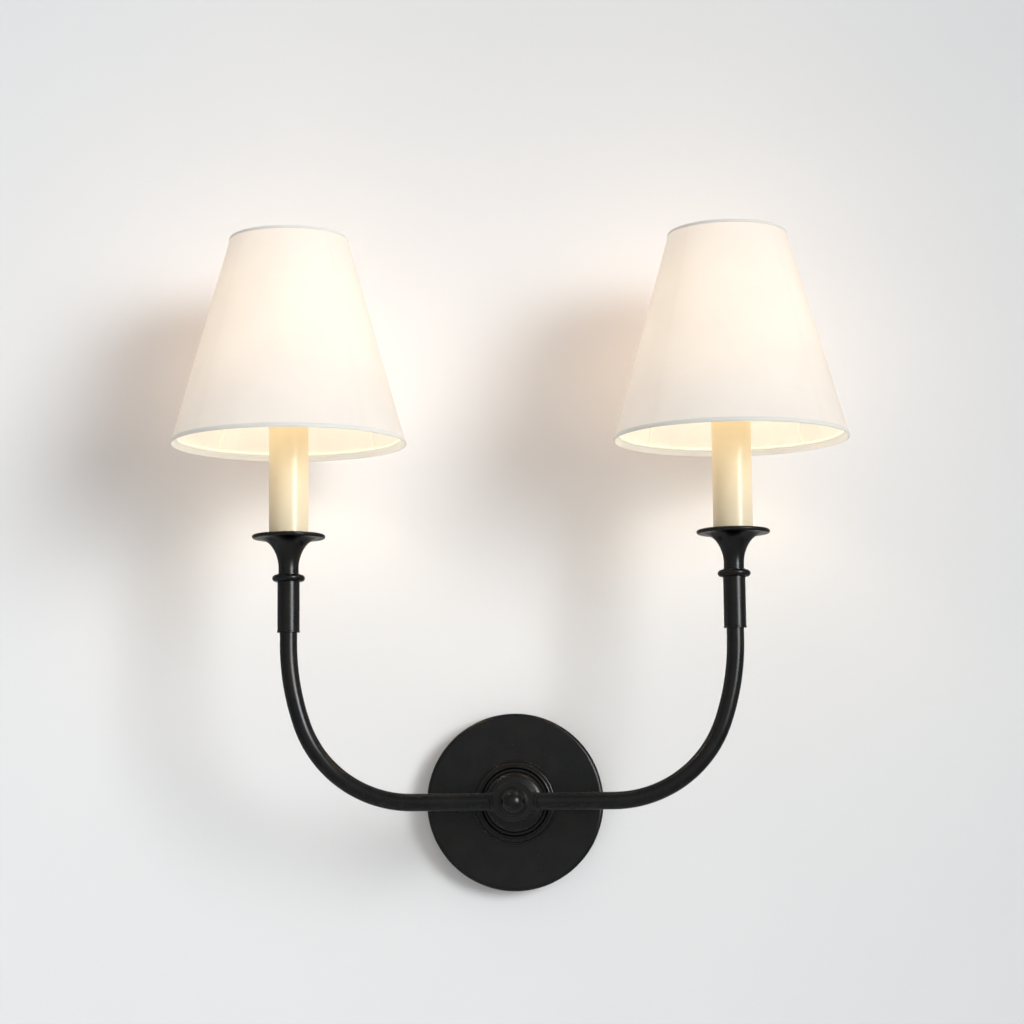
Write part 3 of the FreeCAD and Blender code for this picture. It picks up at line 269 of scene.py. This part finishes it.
def uneven_surface_group():
    """Slow and fine unevenness of a finish, as a mask and as a height."""
    group, start, end = new_group("uneven_surface", [
        ("Vector", "NodeSocketVector", None),
        ("Patches", "NodeSocketFloat", 60.0),
        ("Grain", "NodeSocketFloat", 900.0),
    ], [("Mask", "NodeSocketFloat"), ("Height", "NodeSocketFloat")])
    slow_detail, fine_detail = 5.0, 3.0
    patch_edge = (0.35, 0.7)
    fine_share = 0.35
    slow = noise(group, start.outputs["Vector"], start.outputs["Patches"], slow_detail)
    fine = noise(group, start.outputs["Vector"], start.outputs["Grain"], fine_detail)
    mask = remap(group, slow, *patch_edge, 0.0, 1.0, smooth=True)
    group.links.new(mask, end.inputs["Mask"])
    height = math_node(group, "MULTIPLY_ADD", fine, fine_share, slow)
    group.links.new(height, end.inputs["Height"])


def woven_threads_group():
    """Warp and weft of a plain weave, with slubs, from a flat pattern in metres."""
    group, start, end = new_group("woven_threads", [
        ("Vector", "NodeSocketVector", None),
        ("Threads", "NodeSocketFloat", 2200.0),
    ], [("Height", "NodeSocketFloat"), ("Shade", "NodeSocketFloat")])
    slub_stretch = (14.0, 900.0, 1.0)
    slub_detail = 2.0
    crossing_share = 0.5
    parts = group.nodes.new("ShaderNodeSeparateXYZ")
    group.links.new(start.outputs["Vector"], parts.inputs[0])
    turn = math_node(group, "MULTIPLY", start.outputs["Threads"], math.pi)
    warp = math_node(group, "SINE", math_node(group, "MULTIPLY", parts.outputs[0], turn))
    weft = math_node(group, "SINE", math_node(group, "MULTIPLY", parts.outputs[1], turn))
    crossing = math_node(group, "MULTIPLY", warp, weft)
    slubs = group.nodes.new("ShaderNodeMapping")
    slubs.inputs["Scale"].default_value = slub_stretch
    group.links.new(start.outputs["Vector"], slubs.inputs["Vector"])
    slub = noise(group, slubs.outputs[0], 1.0, slub_detail)
    height = math_node(group, "MULTIPLY_ADD", crossing, crossing_share, slub)
    group.links.new(height, end.inputs["Height"])
    shade = remap(group, height, 0.0, 1.0, 0.0, 1.0)
    group.links.new(shade, end.inputs["Shade"])


def group_node(tree, name, vector, **values):
    """Place a node group, feed its vector and set its values."""
    node = tree.nodes.new("ShaderNodeGroup")
    node.node_tree = bpy.data.node_groups[name]
    tree.links.new(vector, node.inputs["Vector"])
    for key, value in values.items():
        node.inputs[key].default_value = value
    return node.outputs


def new_material(name, roughness, metallic=0.0):
    """A material with its Principled shader set to plain values."""
    material = bpy.data.materials.new(name)
    material.use_nodes = True
    shader = material.node_tree.nodes["Principled BSDF"]
    shader.inputs["Roughness"].default_value = roughness
    shader.inputs["Metallic"].default_value = metallic
    return material, material.node_tree, shader


def place_vector(tree, uv=None):
    """Object coordinates, or a named UV map."""
    if uv:
        node = tree.nodes.new("ShaderNodeUVMap")
        node.uv_map = uv
        return node.outputs["UV"]
    return tree.nodes.new("ShaderNodeTexCoord").outputs["Object"]


def add_bump(tree, shader, height, distance, strength=1.0):
    """Bump the surface by a height socket, over a distance in metres."""
    bump = tree.nodes.new("ShaderNodeBump")
    bump.inputs["Distance"].default_value = distance
    bump.inputs["Strength"].default_value = strength
    tree.links.new(height, bump.inputs["Height"])
    tree.links.new(bump.outputs["Normal"], shader.inputs["Normal"])


def dimmed(shade, share):
    """A colour with each of its values times a share."""
    return tuple(value * share for value in shade)


def weave_of_cut(tree):
    """The weave over a piece's flat cut, at the linen's thread pitch."""
    return group_node(tree, "woven_threads", place_vector(tree, "cut"),
                      Threads=1 / sizes().thread_pitch)


def worn_material(name, dark, light, roughness, metallic,
                  patches=60.0, grain=900.0, depth=0.00004, spread=0.12):
    """A finish whose colour and gloss vary slowly, over a fine grain."""
    material, tree, shader = new_material(name, roughness, metallic)
    uneven = group_node(tree, "uneven_surface", place_vector(tree), Patches=patches, Grain=grain)
    tree.links.new(blend_colours(tree, uneven["Mask"], dark, light), shader.inputs["Base Color"])
    gloss = remap(tree, uneven["Mask"], 0.0, 1.0, roughness - spread / 2, roughness + spread / 2)
    tree.links.new(gloss, shader.inputs["Roughness"])
    add_bump(tree, shader, uneven["Height"], depth)
    return material


# ---------------------------------------------------------------- finishes

def make_bronze(name, dark, warm):
    """Blackened bronze, satin and faintly mottled, that stays dark where it turns away."""
    material = worn_material(name, dark, warm, roughness=0.29, metallic=1.0,
                             patches=70.0, grain=2600.0, depth=0.000003, spread=0.05)
    shader = material.node_tree.nodes["Principled BSDF"]
    shader.inputs["Specular Tint"].default_value = (0.5, 0.5, 0.5, 1.0)
    return material


def make_enamel(name, white):
    """White enamel of the shade's wires, with lamplight painted on as an emission glow so they look
    as bright as the lining behind them.
    """
    material = worn_material(name, dimmed(white, 0.95), white, roughness=0.35, metallic=0.0)
    shader = material.node_tree.nodes["Principled BSDF"]
    # Painted lamplight on the wires.
    shader.inputs["Emission Color"].default_value = (*colours().enamel_glow, 1.0)
    shader.inputs["Emission Strength"].default_value = 1.0
    return material


def make_linen(name):
    """White linen with the lamplight through it painted on as an emission glow, brightest beside
    the bulb, with painted rib shadows.
    """
    brightest_from, brightest_to, left_at_head = 0.55, 0.72, 0.55
    rib_shadow_width, rib_shadow_depth = 0.045, 0.05
    cloud_scale, cloud_detail, cloud_depth = 28.0, 3.0, 0.14
    material, tree, shader = new_material(name, 0.85)
    weave = weave_of_cut(tree)
    parts = tree.nodes.new("ShaderNodeSeparateXYZ")
    tree.links.new(place_vector(tree, "place"), parts.inputs[0])
    way_round, way_up = parts.outputs[0], parts.outputs[1]
    base = tuple(colours().linen)
    tree.links.new(blend_colours(tree, weave["Shade"], dimmed(base, 0.93), base),
                   shader.inputs["Base Color"])
    # Painted lamplight: the glow is brightest in a band up the shade, beside the bulb.
    rise = remap(tree, way_up, 0.0, brightest_from, 0.0, 1.0, smooth=True)
    fall = remap(tree, way_up, brightest_to, 1.0, 1.0, left_at_head, smooth=True)
    mask = math_node(tree, "MULTIPLY", rise, fall)
    low_glow = tuple(colours().linen_glow_low)
    glow = blend_colours(tree, mask, low_glow, tuple(colours().linen_glow))
    # Painted shadows of the ribs, and random clouds that dim the painted glow.
    quarter = math_node(tree, "FRACT", math_node(tree, "MULTIPLY", way_round, float(RIBS)))
    off_rib = math_node(tree, "ABSOLUTE", math_node(tree, "SUBTRACT", quarter, 0.5))
    near_rib = remap(tree, off_rib, 0.0, rib_shadow_width, rib_shadow_depth, 0.0, smooth=True)
    slow = noise(tree, place_vector(tree), cloud_scale, cloud_detail)
    clouded = remap(tree, slow, 0.3, 0.7, 0.0, cloud_depth)
    shadow = math_node(tree, "ADD", near_rib, clouded)
    shaded = blend_colours(tree, shadow, glow, dimmed(low_glow, 0.5))
    tree.links.new(shaded, shader.inputs["Emission Color"])
    shader.inputs["Emission Strength"].default_value = 1.0
    shader.inputs["Sheen Weight"].default_value = 0.6
    shader.inputs["Sheen Tint"].default_value = (*colours().linen_sheen, 1.0)
    add_bump(tree, shader, weave["Height"], 0.00006, 0.6)
    return material


def make_lining(name):
    """Cream lining of the shade, lit by the bulb's lamp, with more lamplight painted on as an
    emission glow.
    """
    material, tree, shader = new_material(name, 0.6)
    uneven = group_node(tree, "uneven_surface", place_vector(tree), Patches=45.0, Grain=1200.0)
    base = tuple(colours().lining)
    tree.links.new(blend_colours(tree, uneven["Mask"], dimmed(base, 0.95), base),
                   shader.inputs["Base Color"])
    # Painted lamplight: emission on the lining, a little dimmer in random patches.
    glow = tuple(colours().lining_glow)
    tree.links.new(blend_colours(tree, uneven["Mask"], dimmed(glow, 0.9), glow),
                   shader.inputs["Emission Color"])
    shader.inputs["Emission Strength"].default_value = 1.0
    add_bump(tree, shader, uneven["Height"], 0.00003)
    return material


def make_tape(name):
    """Folded cotton tape of the rolled edges, with the lamplight through it painted on as an
    emission glow.
    """
    material, tree, shader = new_material(name, 0.8)
    weave = weave_of_cut(tree)
    base = tuple(colours().tape)
    tree.links.new(blend_colours(tree, weave["Shade"], dimmed(base, 0.92), base),
                   shader.inputs["Base Color"])
    # Painted lamplight through the tape, varying with the weave.
    glow = tuple(colours().tape_glow)
    tree.links.new(blend_colours(tree, weave["Shade"], dimmed(glow, 0.9), glow),
                   shader.inputs["Emission Color"])
    shader.inputs["Emission Strength"].default_value = 1.0
    shader.inputs["Sheen Weight"].default_value = 0.15
    add_bump(tree, shader, weave["Height"], 0.00002, 0.4)
    return material


def make_ivory(name):
    """Glossy ivory tube, with lamplight painted on as a warm emission glow that grows towards its
    top.
    """
    painted_lamplight_full_from = 0.75
    material, tree, shader = new_material(name, 0.4)
    vector = place_vector(tree)
    uneven = group_node(tree, "uneven_surface", vector, Patches=35.0, Grain=400.0)
    base = tuple(colours().ivory)
    tree.links.new(blend_colours(tree, uneven["Mask"], dimmed(base, 0.94), base),
                   shader.inputs["Base Color"])
    parts = tree.nodes.new("ShaderNodeSeparateXYZ")
    tree.links.new(vector, parts.inputs[0])
    low, high = foot_of("candle_sleeve_left"), head_of("candle_sleeve_left")
    # Painted lamplight: emission that grows from the sleeve's foot to full strength three quarters
    # of the way up.
    painted_lamplight_mask = remap(tree, parts.outputs[2], low, low + (high - low) * painted_lamplight_full_from, 0.0, 1.0)
    tree.links.new(blend_colours(tree, painted_lamplight_mask, (0.0, 0.0, 0.0), tuple(colours().ivory_glow)),
                   shader.inputs["Emission Color"])
    shader.inputs["Emission Strength"].default_value = 1.0
    shader.inputs["Coat Weight"].default_value = 0.25
    shader.inputs["Coat Roughness"].default_value = 0.08
    add_bump(tree, shader, uneven["Height"], 0.00003)
    return material


def make_glass(name):
    """Clear thin glass."""
    material, tree, shader = new_material(name, 0.02)
    uneven = group_node(tree, "uneven_surface", place_vector(tree), Patches=60.0, Grain=300.0)
    tree.links.new(blend_colours(tree, uneven["Mask"], (0.97, 0.98, 0.98), (1.0, 1.0, 1.0)),
                   shader.inputs["Base Color"])
    shader.inputs["Transmission Weight"].default_value = 1.0
    shader.inputs["IOR"].default_value = 1.45
    add_bump(tree, shader, uneven["Height"], 0.00001)
    return material


def make_filament(name):
    """Glowing filament rods on their pale stem."""
    material, tree, shader = new_material(name, 0.4)
    uneven = group_node(tree, "uneven_surface", place_vector(tree), Patches=120.0, Grain=1500.0)
    tree.links.new(blend_colours(tree, uneven["Mask"], (0.9, 0.62, 0.22), (1.0, 0.78, 0.4)),
                   shader.inputs["Emission Color"])
    shader.inputs["Base Color"].default_value = (0.8, 0.6, 0.3, 1.0)
    shader.inputs["Emission Strength"].default_value = 2.0
    return material


def make_finishes():
    """Make every finish, by the name of the record's material slot."""
    uneven_surface_group()
    woven_threads_group()
    bronze, warm = tuple(colours().bronze), tuple(colours().bronze_warm)
    finishes = {slot: worn_material(slot + "_look", *values)
                for slot, values in PLAIN_FINISHES.items()}
    finishes.update({
        "bronze_finish": make_bronze("bronze_finish_look", bronze, warm),
        "frame_enamel": make_enamel("frame_enamel_look", tuple(colours().enamel)),
        "sleeve_ivory": make_ivory("sleeve_ivory_look"),
        "bulb_glass": make_glass("bulb_glass_look"),
        "filament_glow": make_filament("filament_glow_look"),
        "shade_cloth": make_linen("shade_cloth_look"),
        "shade_lining": make_lining("shade_lining_look"),
        "shade_tape": make_tape("shade_tape_look"),
    })
    return finishes


# ---------------------------------------------------------------- modelling tools

def select_only(piece=None):
    """Clear the selection, then select one piece and make it active."""
    bpy.ops.object.select_all(action="DESELECT")
    if piece is not None:
        piece.select_set(True)
        bpy.context.view_layer.objects.active = piece


def settle(piece, name):
    """Put a finished piece's place into its mesh, and name it."""
    select_only(piece)
    bpy.ops.object.transform_apply(location=True, rotation=True, scale=True)
    piece.name = name
    piece.data.name = name
    return piece


def turned_ring(name, outline, centre, steps):
    """Turn a closed outline of (radius, height) points about an upright axis through centre."""
    points = [centre + Vector((radius, 0, height)) for radius, height in outline]
    select_only()
    bpy.ops.mesh.primitive_plane_add(size=0.001, location=points[0])
    piece = bpy.context.object
    bpy.ops.object.mode_set(mode="EDIT")
    bpy.ops.mesh.merge(type="CENTER")
    for before, after in zip(points, points[1:]):
        bpy.ops.mesh.extrude_region_move(TRANSFORM_OT_translate={"value": after - before})
    bpy.ops.mesh.select_all(action="DESELECT")
    bpy.ops.object.mode_set(mode="OBJECT")
    last = len(piece.data.vertices) - 1
    for index, vertex in enumerate(piece.data.vertices):
        vertex.select = index in (0, last)
    bpy.ops.object.mode_set(mode="EDIT")
    bpy.ops.mesh.edge_face_add()
    bpy.ops.mesh.select_all(action="SELECT")
    bpy.ops.mesh.spin(steps=steps, angle=2 * math.pi, center=centre, axis=(0, 0, 1))
    bpy.ops.mesh.select_all(action="SELECT")
    bpy.ops.mesh.remove_doubles(threshold=MERGE_DISTANCE)
    bpy.ops.mesh.normals_make_consistent(inside=False)
    bpy.ops.object.mode_set(mode="OBJECT")
    settle(piece, name)
    bpy.ops.object.shade_smooth()
    return piece


def wrap_uv(piece, name, centre, at):
    """Give each corner a UV from its angle about the axis, its radius and its height.

    The angle runs from the seam at the back, and doesn't jump within a face.
    """
    layer = piece.data.uv_layers.new(name=name)
    for face in piece.data.polygons:
        middle = face.center - centre
        face_angle = math.atan2(middle.x, -middle.y)
        for loop in face.loop_indices:
            spot = piece.data.vertices[piece.data.loops[loop].vertex_index].co - centre
            angle = math.atan2(spot.x, -spot.y)
            angle += 2 * math.pi * round((face_angle - angle) / (2 * math.pi))
            layer.data[loop].uv = at(angle, math.hypot(spot.x, spot.y), spot.z)


def cone_slant():
    """Sine of the cone's half angle, and its slope inwards for each unit of height."""
    size = sizes()
    slope = (size.cloth_foot_radius - size.cloth_head_radius) / (size.cloth_head - size.cloth_foot)
    return slope / math.sqrt(1 + slope * slope), slope


def make_cloth(side, finishes):
    """Cone of linen with its lining, cut as one piece with its seam at the back."""
    size = sizes()
    centre = axis_of(side)
    sine, _ = cone_slant()
    select_only()
    bpy.ops.mesh.primitive_cone_add(
        vertices=size.around, radius1=size.cloth_foot_radius, radius2=size.cloth_head_radius,
        depth=size.cloth_head - size.cloth_foot, end_fill_type="NOTHING",
        location=centre + Vector((0, 0, (size.cloth_head + size.cloth_foot) / 2)))
    cloth = bpy.context.object
    settle(cloth, "shade_linen_" + side)
    bpy.ops.object.mode_set(mode="EDIT")
    bpy.ops.mesh.select_mode(type="EDGE")
    bpy.ops.mesh.select_all(action="DESELECT")
    bpy.ops.object.mode_set(mode="OBJECT")
    points = cloth.data.vertices
    for edge in cloth.data.edges:
        first, second = (points[index].co.z for index in edge.vertices)
        edge.select = abs(first - second) > LEVEL_TOLERANCE
    bpy.ops.object.mode_set(mode="EDIT")
    bpy.ops.mesh.subdivide(number_cuts=size.rows - 1)
    bpy.ops.mesh.select_mode(type="VERT")
    bpy.ops.object.mode_set(mode="OBJECT")

    def in_pattern(angle, radius, height):
        """Place on the flat cut, in metres from the cone's point."""
        slant = radius / sine
        return (slant * math.sin(angle * sine), -slant * math.cos(angle * sine))

    def on_shade(angle, radius, height):
        """Share of the way round and up the shade."""
        way_up = (height - size.cloth_foot) / (size.cloth_head - size.cloth_foot)
        return (angle / (2 * math.pi), way_up)

    wrap_uv(cloth, "cut", centre, in_pattern)
    wrap_uv(cloth, "place", centre, on_shade)
    cloth.data.materials.append(finishes["shade_cloth"])
    cloth.data.materials.append(finishes["shade_lining"])
    wall = cloth.modifiers.new("wall", "SOLIDIFY")
    wall.thickness = size.cloth_thickness
    wall.offset = -1.0
    wall.material_offset = 1
    select_only(cloth)
    bpy.ops.object.modifier_apply(modifier="wall")
    bpy.ops.object.shade_smooth_by_angle(angle=SMOOTH_ANGLE)
    return cloth


def rolled_edge(name, side, radius, height, roll_height, roll_depth, finishes):
    """Rolled band round an edge of the cone, leaning with the cloth, flush with its lining."""
    centre = axis_of(side)
    _, slope = cone_slant()
    flush = sizes().cloth_thickness * ROLL_FLUSH_SHARE
    outline = []
    for step in range(ROLL_POINTS):
        angle = 2 * math.pi * step / ROLL_POINTS
        up = roll_height / 2 * math.sin(angle)
        across = max(roll_depth / 2 * math.cos(angle), -flush)
        outline.append((radius + across - up * slope, height + up))
    band = turned_ring(name, outline, centre, sizes().around)
    middle = centre + Vector((0, 0, height))

    def along_band(angle, band_radius, rise):
        """Length along the band and across it, in metres."""
        return (angle * radius, rise + (band_radius - radius))

    wrap_uv(band, "cut", middle, along_band)
    band.data.materials.append(finishes["shade_tape"])
    band.data.materials.append(finishes["shade_lining"])
    for face in band.data.polygons:
        outward = face.center - centre
        face.material_index = 1 if face.normal.x * outward.x + face.normal.y * outward.y < 0 else 0
    return band


# ---------------------------------------------------------------- operators

class MakeFinishes(bpy.types.Operator):
    """Give every shown node of the frame the finish of its material slot"""

    bl_idname = "sconce.make_finishes"
    bl_label = "Finishes"

    def execute(self, context):
        finishes = make_finishes()
        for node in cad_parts.values():
            slot_name = node.data.materials[0].name.split(".")[0]
            if slot_name not in finishes:
                raise RuntimeError("no finish is made for " + slot_name)
            for slot in node.material_slots:
                slot.material = finishes[slot_name]
        for side in SIDES:
            for inside in ("bulb_glass_", "shade_foot_ring_", "shade_ribs_"):
                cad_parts[inside + side].visible_shadow = False
        return {"FINISHED"}


class MakeShades(bpy.types.Operator):
    """Make the linen cones and their rolled edges"""

    bl_idname = "sconce.make_shades"
    bl_label = "Shades"

    def execute(self, context):
        size = sizes()
        finishes = {slot: bpy.data.materials[slot + "_look"]
                    for slot in ("shade_cloth", "shade_lining", "shade_tape")}
        _, slope = cone_slant()
        cloth_middle = size.cloth_thickness / 2
        foot_rise, head_drop = size.foot_roll_height / 2, size.head_roll_height / 2
        foot_radius = size.cloth_foot_radius - cloth_middle - slope * foot_rise
        head_radius = size.cloth_head_radius - cloth_middle + slope * head_drop
        for side in SIDES:
            body = "shade_" + side
            cloth = make_cloth(side, finishes)
            foot = rolled_edge("shade_foot_roll_" + side, side, foot_radius,
                               foot_of("shade_foot_tape_left") + foot_rise,
                               size.foot_roll_height, size.foot_roll_depth, finishes)
            head = rolled_edge("shade_head_roll_" + side, side, head_radius,
                               head_of("shade_head_tape_left") - head_drop,
                               size.head_roll_height, size.head_roll_depth, finishes)
            for piece, node, slot in ((cloth, "shade_fabric_", "shade_cloth"),
                                      (foot, "shade_foot_tape_", "shade_tape"),
                                      (head, "shade_head_tape_", "shade_tape")):
                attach(piece, body)
                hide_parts(node + side)
        return {"FINISHED"}


def one_sided(name, shade):
    """A plain pale surface that can't be seen from behind."""
    material, tree, shader = new_material(name, 0.9)
    uneven = group_node(tree, "uneven_surface", place_vector(tree), Patches=3.0, Grain=350.0)
    tree.links.new(blend_colours(tree, uneven["Mask"], dimmed(shade, 0.985), shade),
                   shader.inputs["Base Color"])
    output = tree.nodes["Material Output"]
    clear = tree.nodes.new("ShaderNodeBsdfTransparent")
    mix = tree.nodes.new("ShaderNodeMixShader")
    back = tree.nodes.new("ShaderNodeNewGeometry")
    tree.links.new(back.outputs["Backfacing"], mix.inputs[0])
    tree.links.new(shader.outputs[0], mix.inputs[1])
    tree.links.new(clear.outputs[0], mix.inputs[2])
    tree.links.new(mix.outputs[0], output.inputs["Surface"])
    return material


def soft_box(name, place, target, side_length, watts, tint=(1.0, 1.0, 1.0)):
    """A square studio light aimed at a point."""
    data = bpy.data.lights.new(name, "AREA")
    data.size = side_length
    data.energy = watts
    data.color = tint
    light = bpy.data.objects.new(name, data)
    light.location = place
    light.rotation_euler = (Vector(target) - Vector(place)).to_track_quat("-Z", "Y").to_euler()
    bpy.context.collection.objects.link(light)
    return light


class MakeStage(bpy.types.Operator):
    """Make the wall, floor, lights and camera"""

    bl_idname = "sconce.make_stage"
    bl_label = "Stage"

    def execute(self, context):
        scene = context.scene
        scene.view_settings.view_transform = "Standard"
        self.make_surfaces()
        self.make_lights(scene)
        self.make_camera(scene)
        return {"FINISHED"}

    def make_surfaces(self):
        """A wall just behind the plate, and a floor in front of it."""
        look = one_sided("wall_look", tuple(colours().wall))
        select_only()
        bpy.ops.mesh.primitive_plane_add(size=ROOM_SIZE, location=(0, WALL_GAP, 0),
                                         rotation=(math.pi / 2, 0, 0))
        wall = bpy.context.object
        settle(wall, "wall")
        select_only()
        bpy.ops.mesh.primitive_plane_add(size=ROOM_SIZE,
                                         location=(0, WALL_GAP - ROOM_SIZE / 2, FLOOR_HEIGHT))
        floor = bpy.context.object
        settle(floor, "floor")
        for piece in (wall, floor):
            piece.data.materials.append(look)

    def make_lights(self, scene):
        """The room's soft light, the lamps in the shades and what their light gives the wall."""
        world = bpy.data.worlds.new("studio")
        world.use_nodes = True
        sky = world.node_tree.nodes["Background"]
        sky.inputs["Color"].default_value = SKY_TINT
        sky.inputs["Strength"].default_value = SKY_STRENGTH
        scene.world = world
        window = soft_box("window_light", place=(2.8, -4.1, 1.05), target=(-1.40, 0.0, -0.25),
                          side_length=2.8, watts=25.0, tint=(0.95, 0.98, 1.0))
        window.data.spread = math.radians(40)
        soft_box("fill_light", place=(-0.4, -4.6, 0.6), target=(0.0, 0.0, 0.0),
                 side_length=5.0, watts=13.0)
        surfaces = [bpy.data.objects[name] for name in ("wall", "floor")]
        metal = [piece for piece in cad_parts.values()
                 if piece.material_slots[0].material.name == "bronze_finish_look"]
        bulbs = []
        for side in SIDES:
            glass_low, glass_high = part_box("bulb_glass_" + side)
            bulb = (glass_low + glass_high) / 2
            bulbs.append(bulb)
            body = "bulb_" + side
            self.make_lamp("lamp_" + side, bulb, colours().lamplight, LAMP_WATTS, body)
            glow = self.make_lamp("cloth_glow_" + side, bulb - CLOTH_GLOW_SHIFT,
                                  colours().clothlight, CLOTH_GLOW_WATTS, body)
            self.let_through(glow, surfaces + metal)
        middle = (bulbs[0] + bulbs[1]) / 2
        pool_place = (middle.x, -POOL_FROM_WALL, middle.z * POOL_HEIGHT_SHARE)
        pool = self.make_lamp("pool_light", pool_place, colours().poollight, POOL_WATTS, "fixture")
        self.let_through(pool, surfaces)

    def let_through(self, lamp, lit):
        """Let a lamp's light pass through the part to the pieces that it lights."""
        lamp.data.shadow_soft_size = SOFT_LAMP_RADIUS
        lamp.data.use_shadow = False
        lamp.data.cycles.use_multiple_importance_sampling = False
        lamp.visible_camera = False
        receivers = bpy.data.collections.new(lamp.name + "_receivers")
        for piece in lit:
            receivers.objects.link(piece)
        lamp.light_linking.receiver_collection = receivers

    def make_lamp(self, name, place, tint, watts, body):
        """A small light that goes with a body."""
        data = bpy.data.lights.new(name, "POINT")
        data.color = tint
        data.energy = watts
        data.shadow_soft_size = LAMP_RADIUS
        lamp = bpy.data.objects.new(name, data)
        lamp.location = place
        bpy.context.collection.objects.link(lamp)
        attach(lamp, body)
        return lamp

    def make_camera(self, scene):
        """The camera at the photo's viewing angle: it looks up, turns and leans a little."""
        level_share = math.cos(CAMERA_PITCH)
        forward = Vector((math.sin(CAMERA_TURN) * level_share, math.cos(CAMERA_TURN) * level_share,
                          math.sin(CAMERA_PITCH)))
        level = Vector((math.cos(CAMERA_TURN), -math.sin(CAMERA_TURN), 0))
        upward = level.cross(forward)
        right = level * math.cos(CAMERA_LEAN) + upward * math.sin(CAMERA_LEAN)
        up = upward * math.cos(CAMERA_LEAN) - level * math.sin(CAMERA_LEAN)
        data = bpy.data.cameras.new("camera")
        data.sensor_width = SENSOR_WIDTH_MM
        data.lens = SENSOR_WIDTH_MM * FOCAL_LENGTH_PIXELS / PHOTO_WIDTH_PIXELS
        camera = bpy.data.objects.new("camera", data)
        turned = Matrix((right, up, -forward)).transposed().to_4x4()
        camera.matrix_world = Matrix.Translation(CAMERA_PLACE) @ turned
        bpy.context.collection.objects.link(camera)
        scene.camera = camera


class SconcePanel(bpy.types.Panel):
    """Lists the sconce's steps, sizes and colours"""

    bl_idname = "VIEW3D_PT_sconce"
    bl_label = "Double arm sconce"
    bl_space_type = "VIEW_3D"
    bl_region_type = "UI"
    bl_category = "Sconce"

    def draw(self, context):
        for step in STEPS:
            self.layout.operator(step.bl_idname)
        for group in (context.scene.sconce_sizes, context.scene.sconce_colours):
            column = self.layout.column()
            for name in group.__annotations__:
                column.prop(group, name)


STEPS = (MakeFinishes, MakeShades, MakeStage)
CLASSES = (SconceSizes, SconceColours, *STEPS, SconcePanel)


def register():
    for item in CLASSES:
        bpy.utils.register_class(item)
    bpy.types.Scene.sconce_sizes = PointerProperty(type=SconceSizes)
    bpy.types.Scene.sconce_colours = PointerProperty(type=SconceColours)


def unregister():
    del bpy.types.Scene.sconce_colours
    del bpy.types.Scene.sconce_sizes
    for item in reversed(CLASSES):
        bpy.utils.unregister_class(item)


def main():
    """Register the add-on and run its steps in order."""
    register()
    bpy.ops.sconce.make_finishes()
    bpy.ops.sconce.make_shades()
    bpy.ops.sconce.make_stage()


if __name__ == "__main__":
    main()
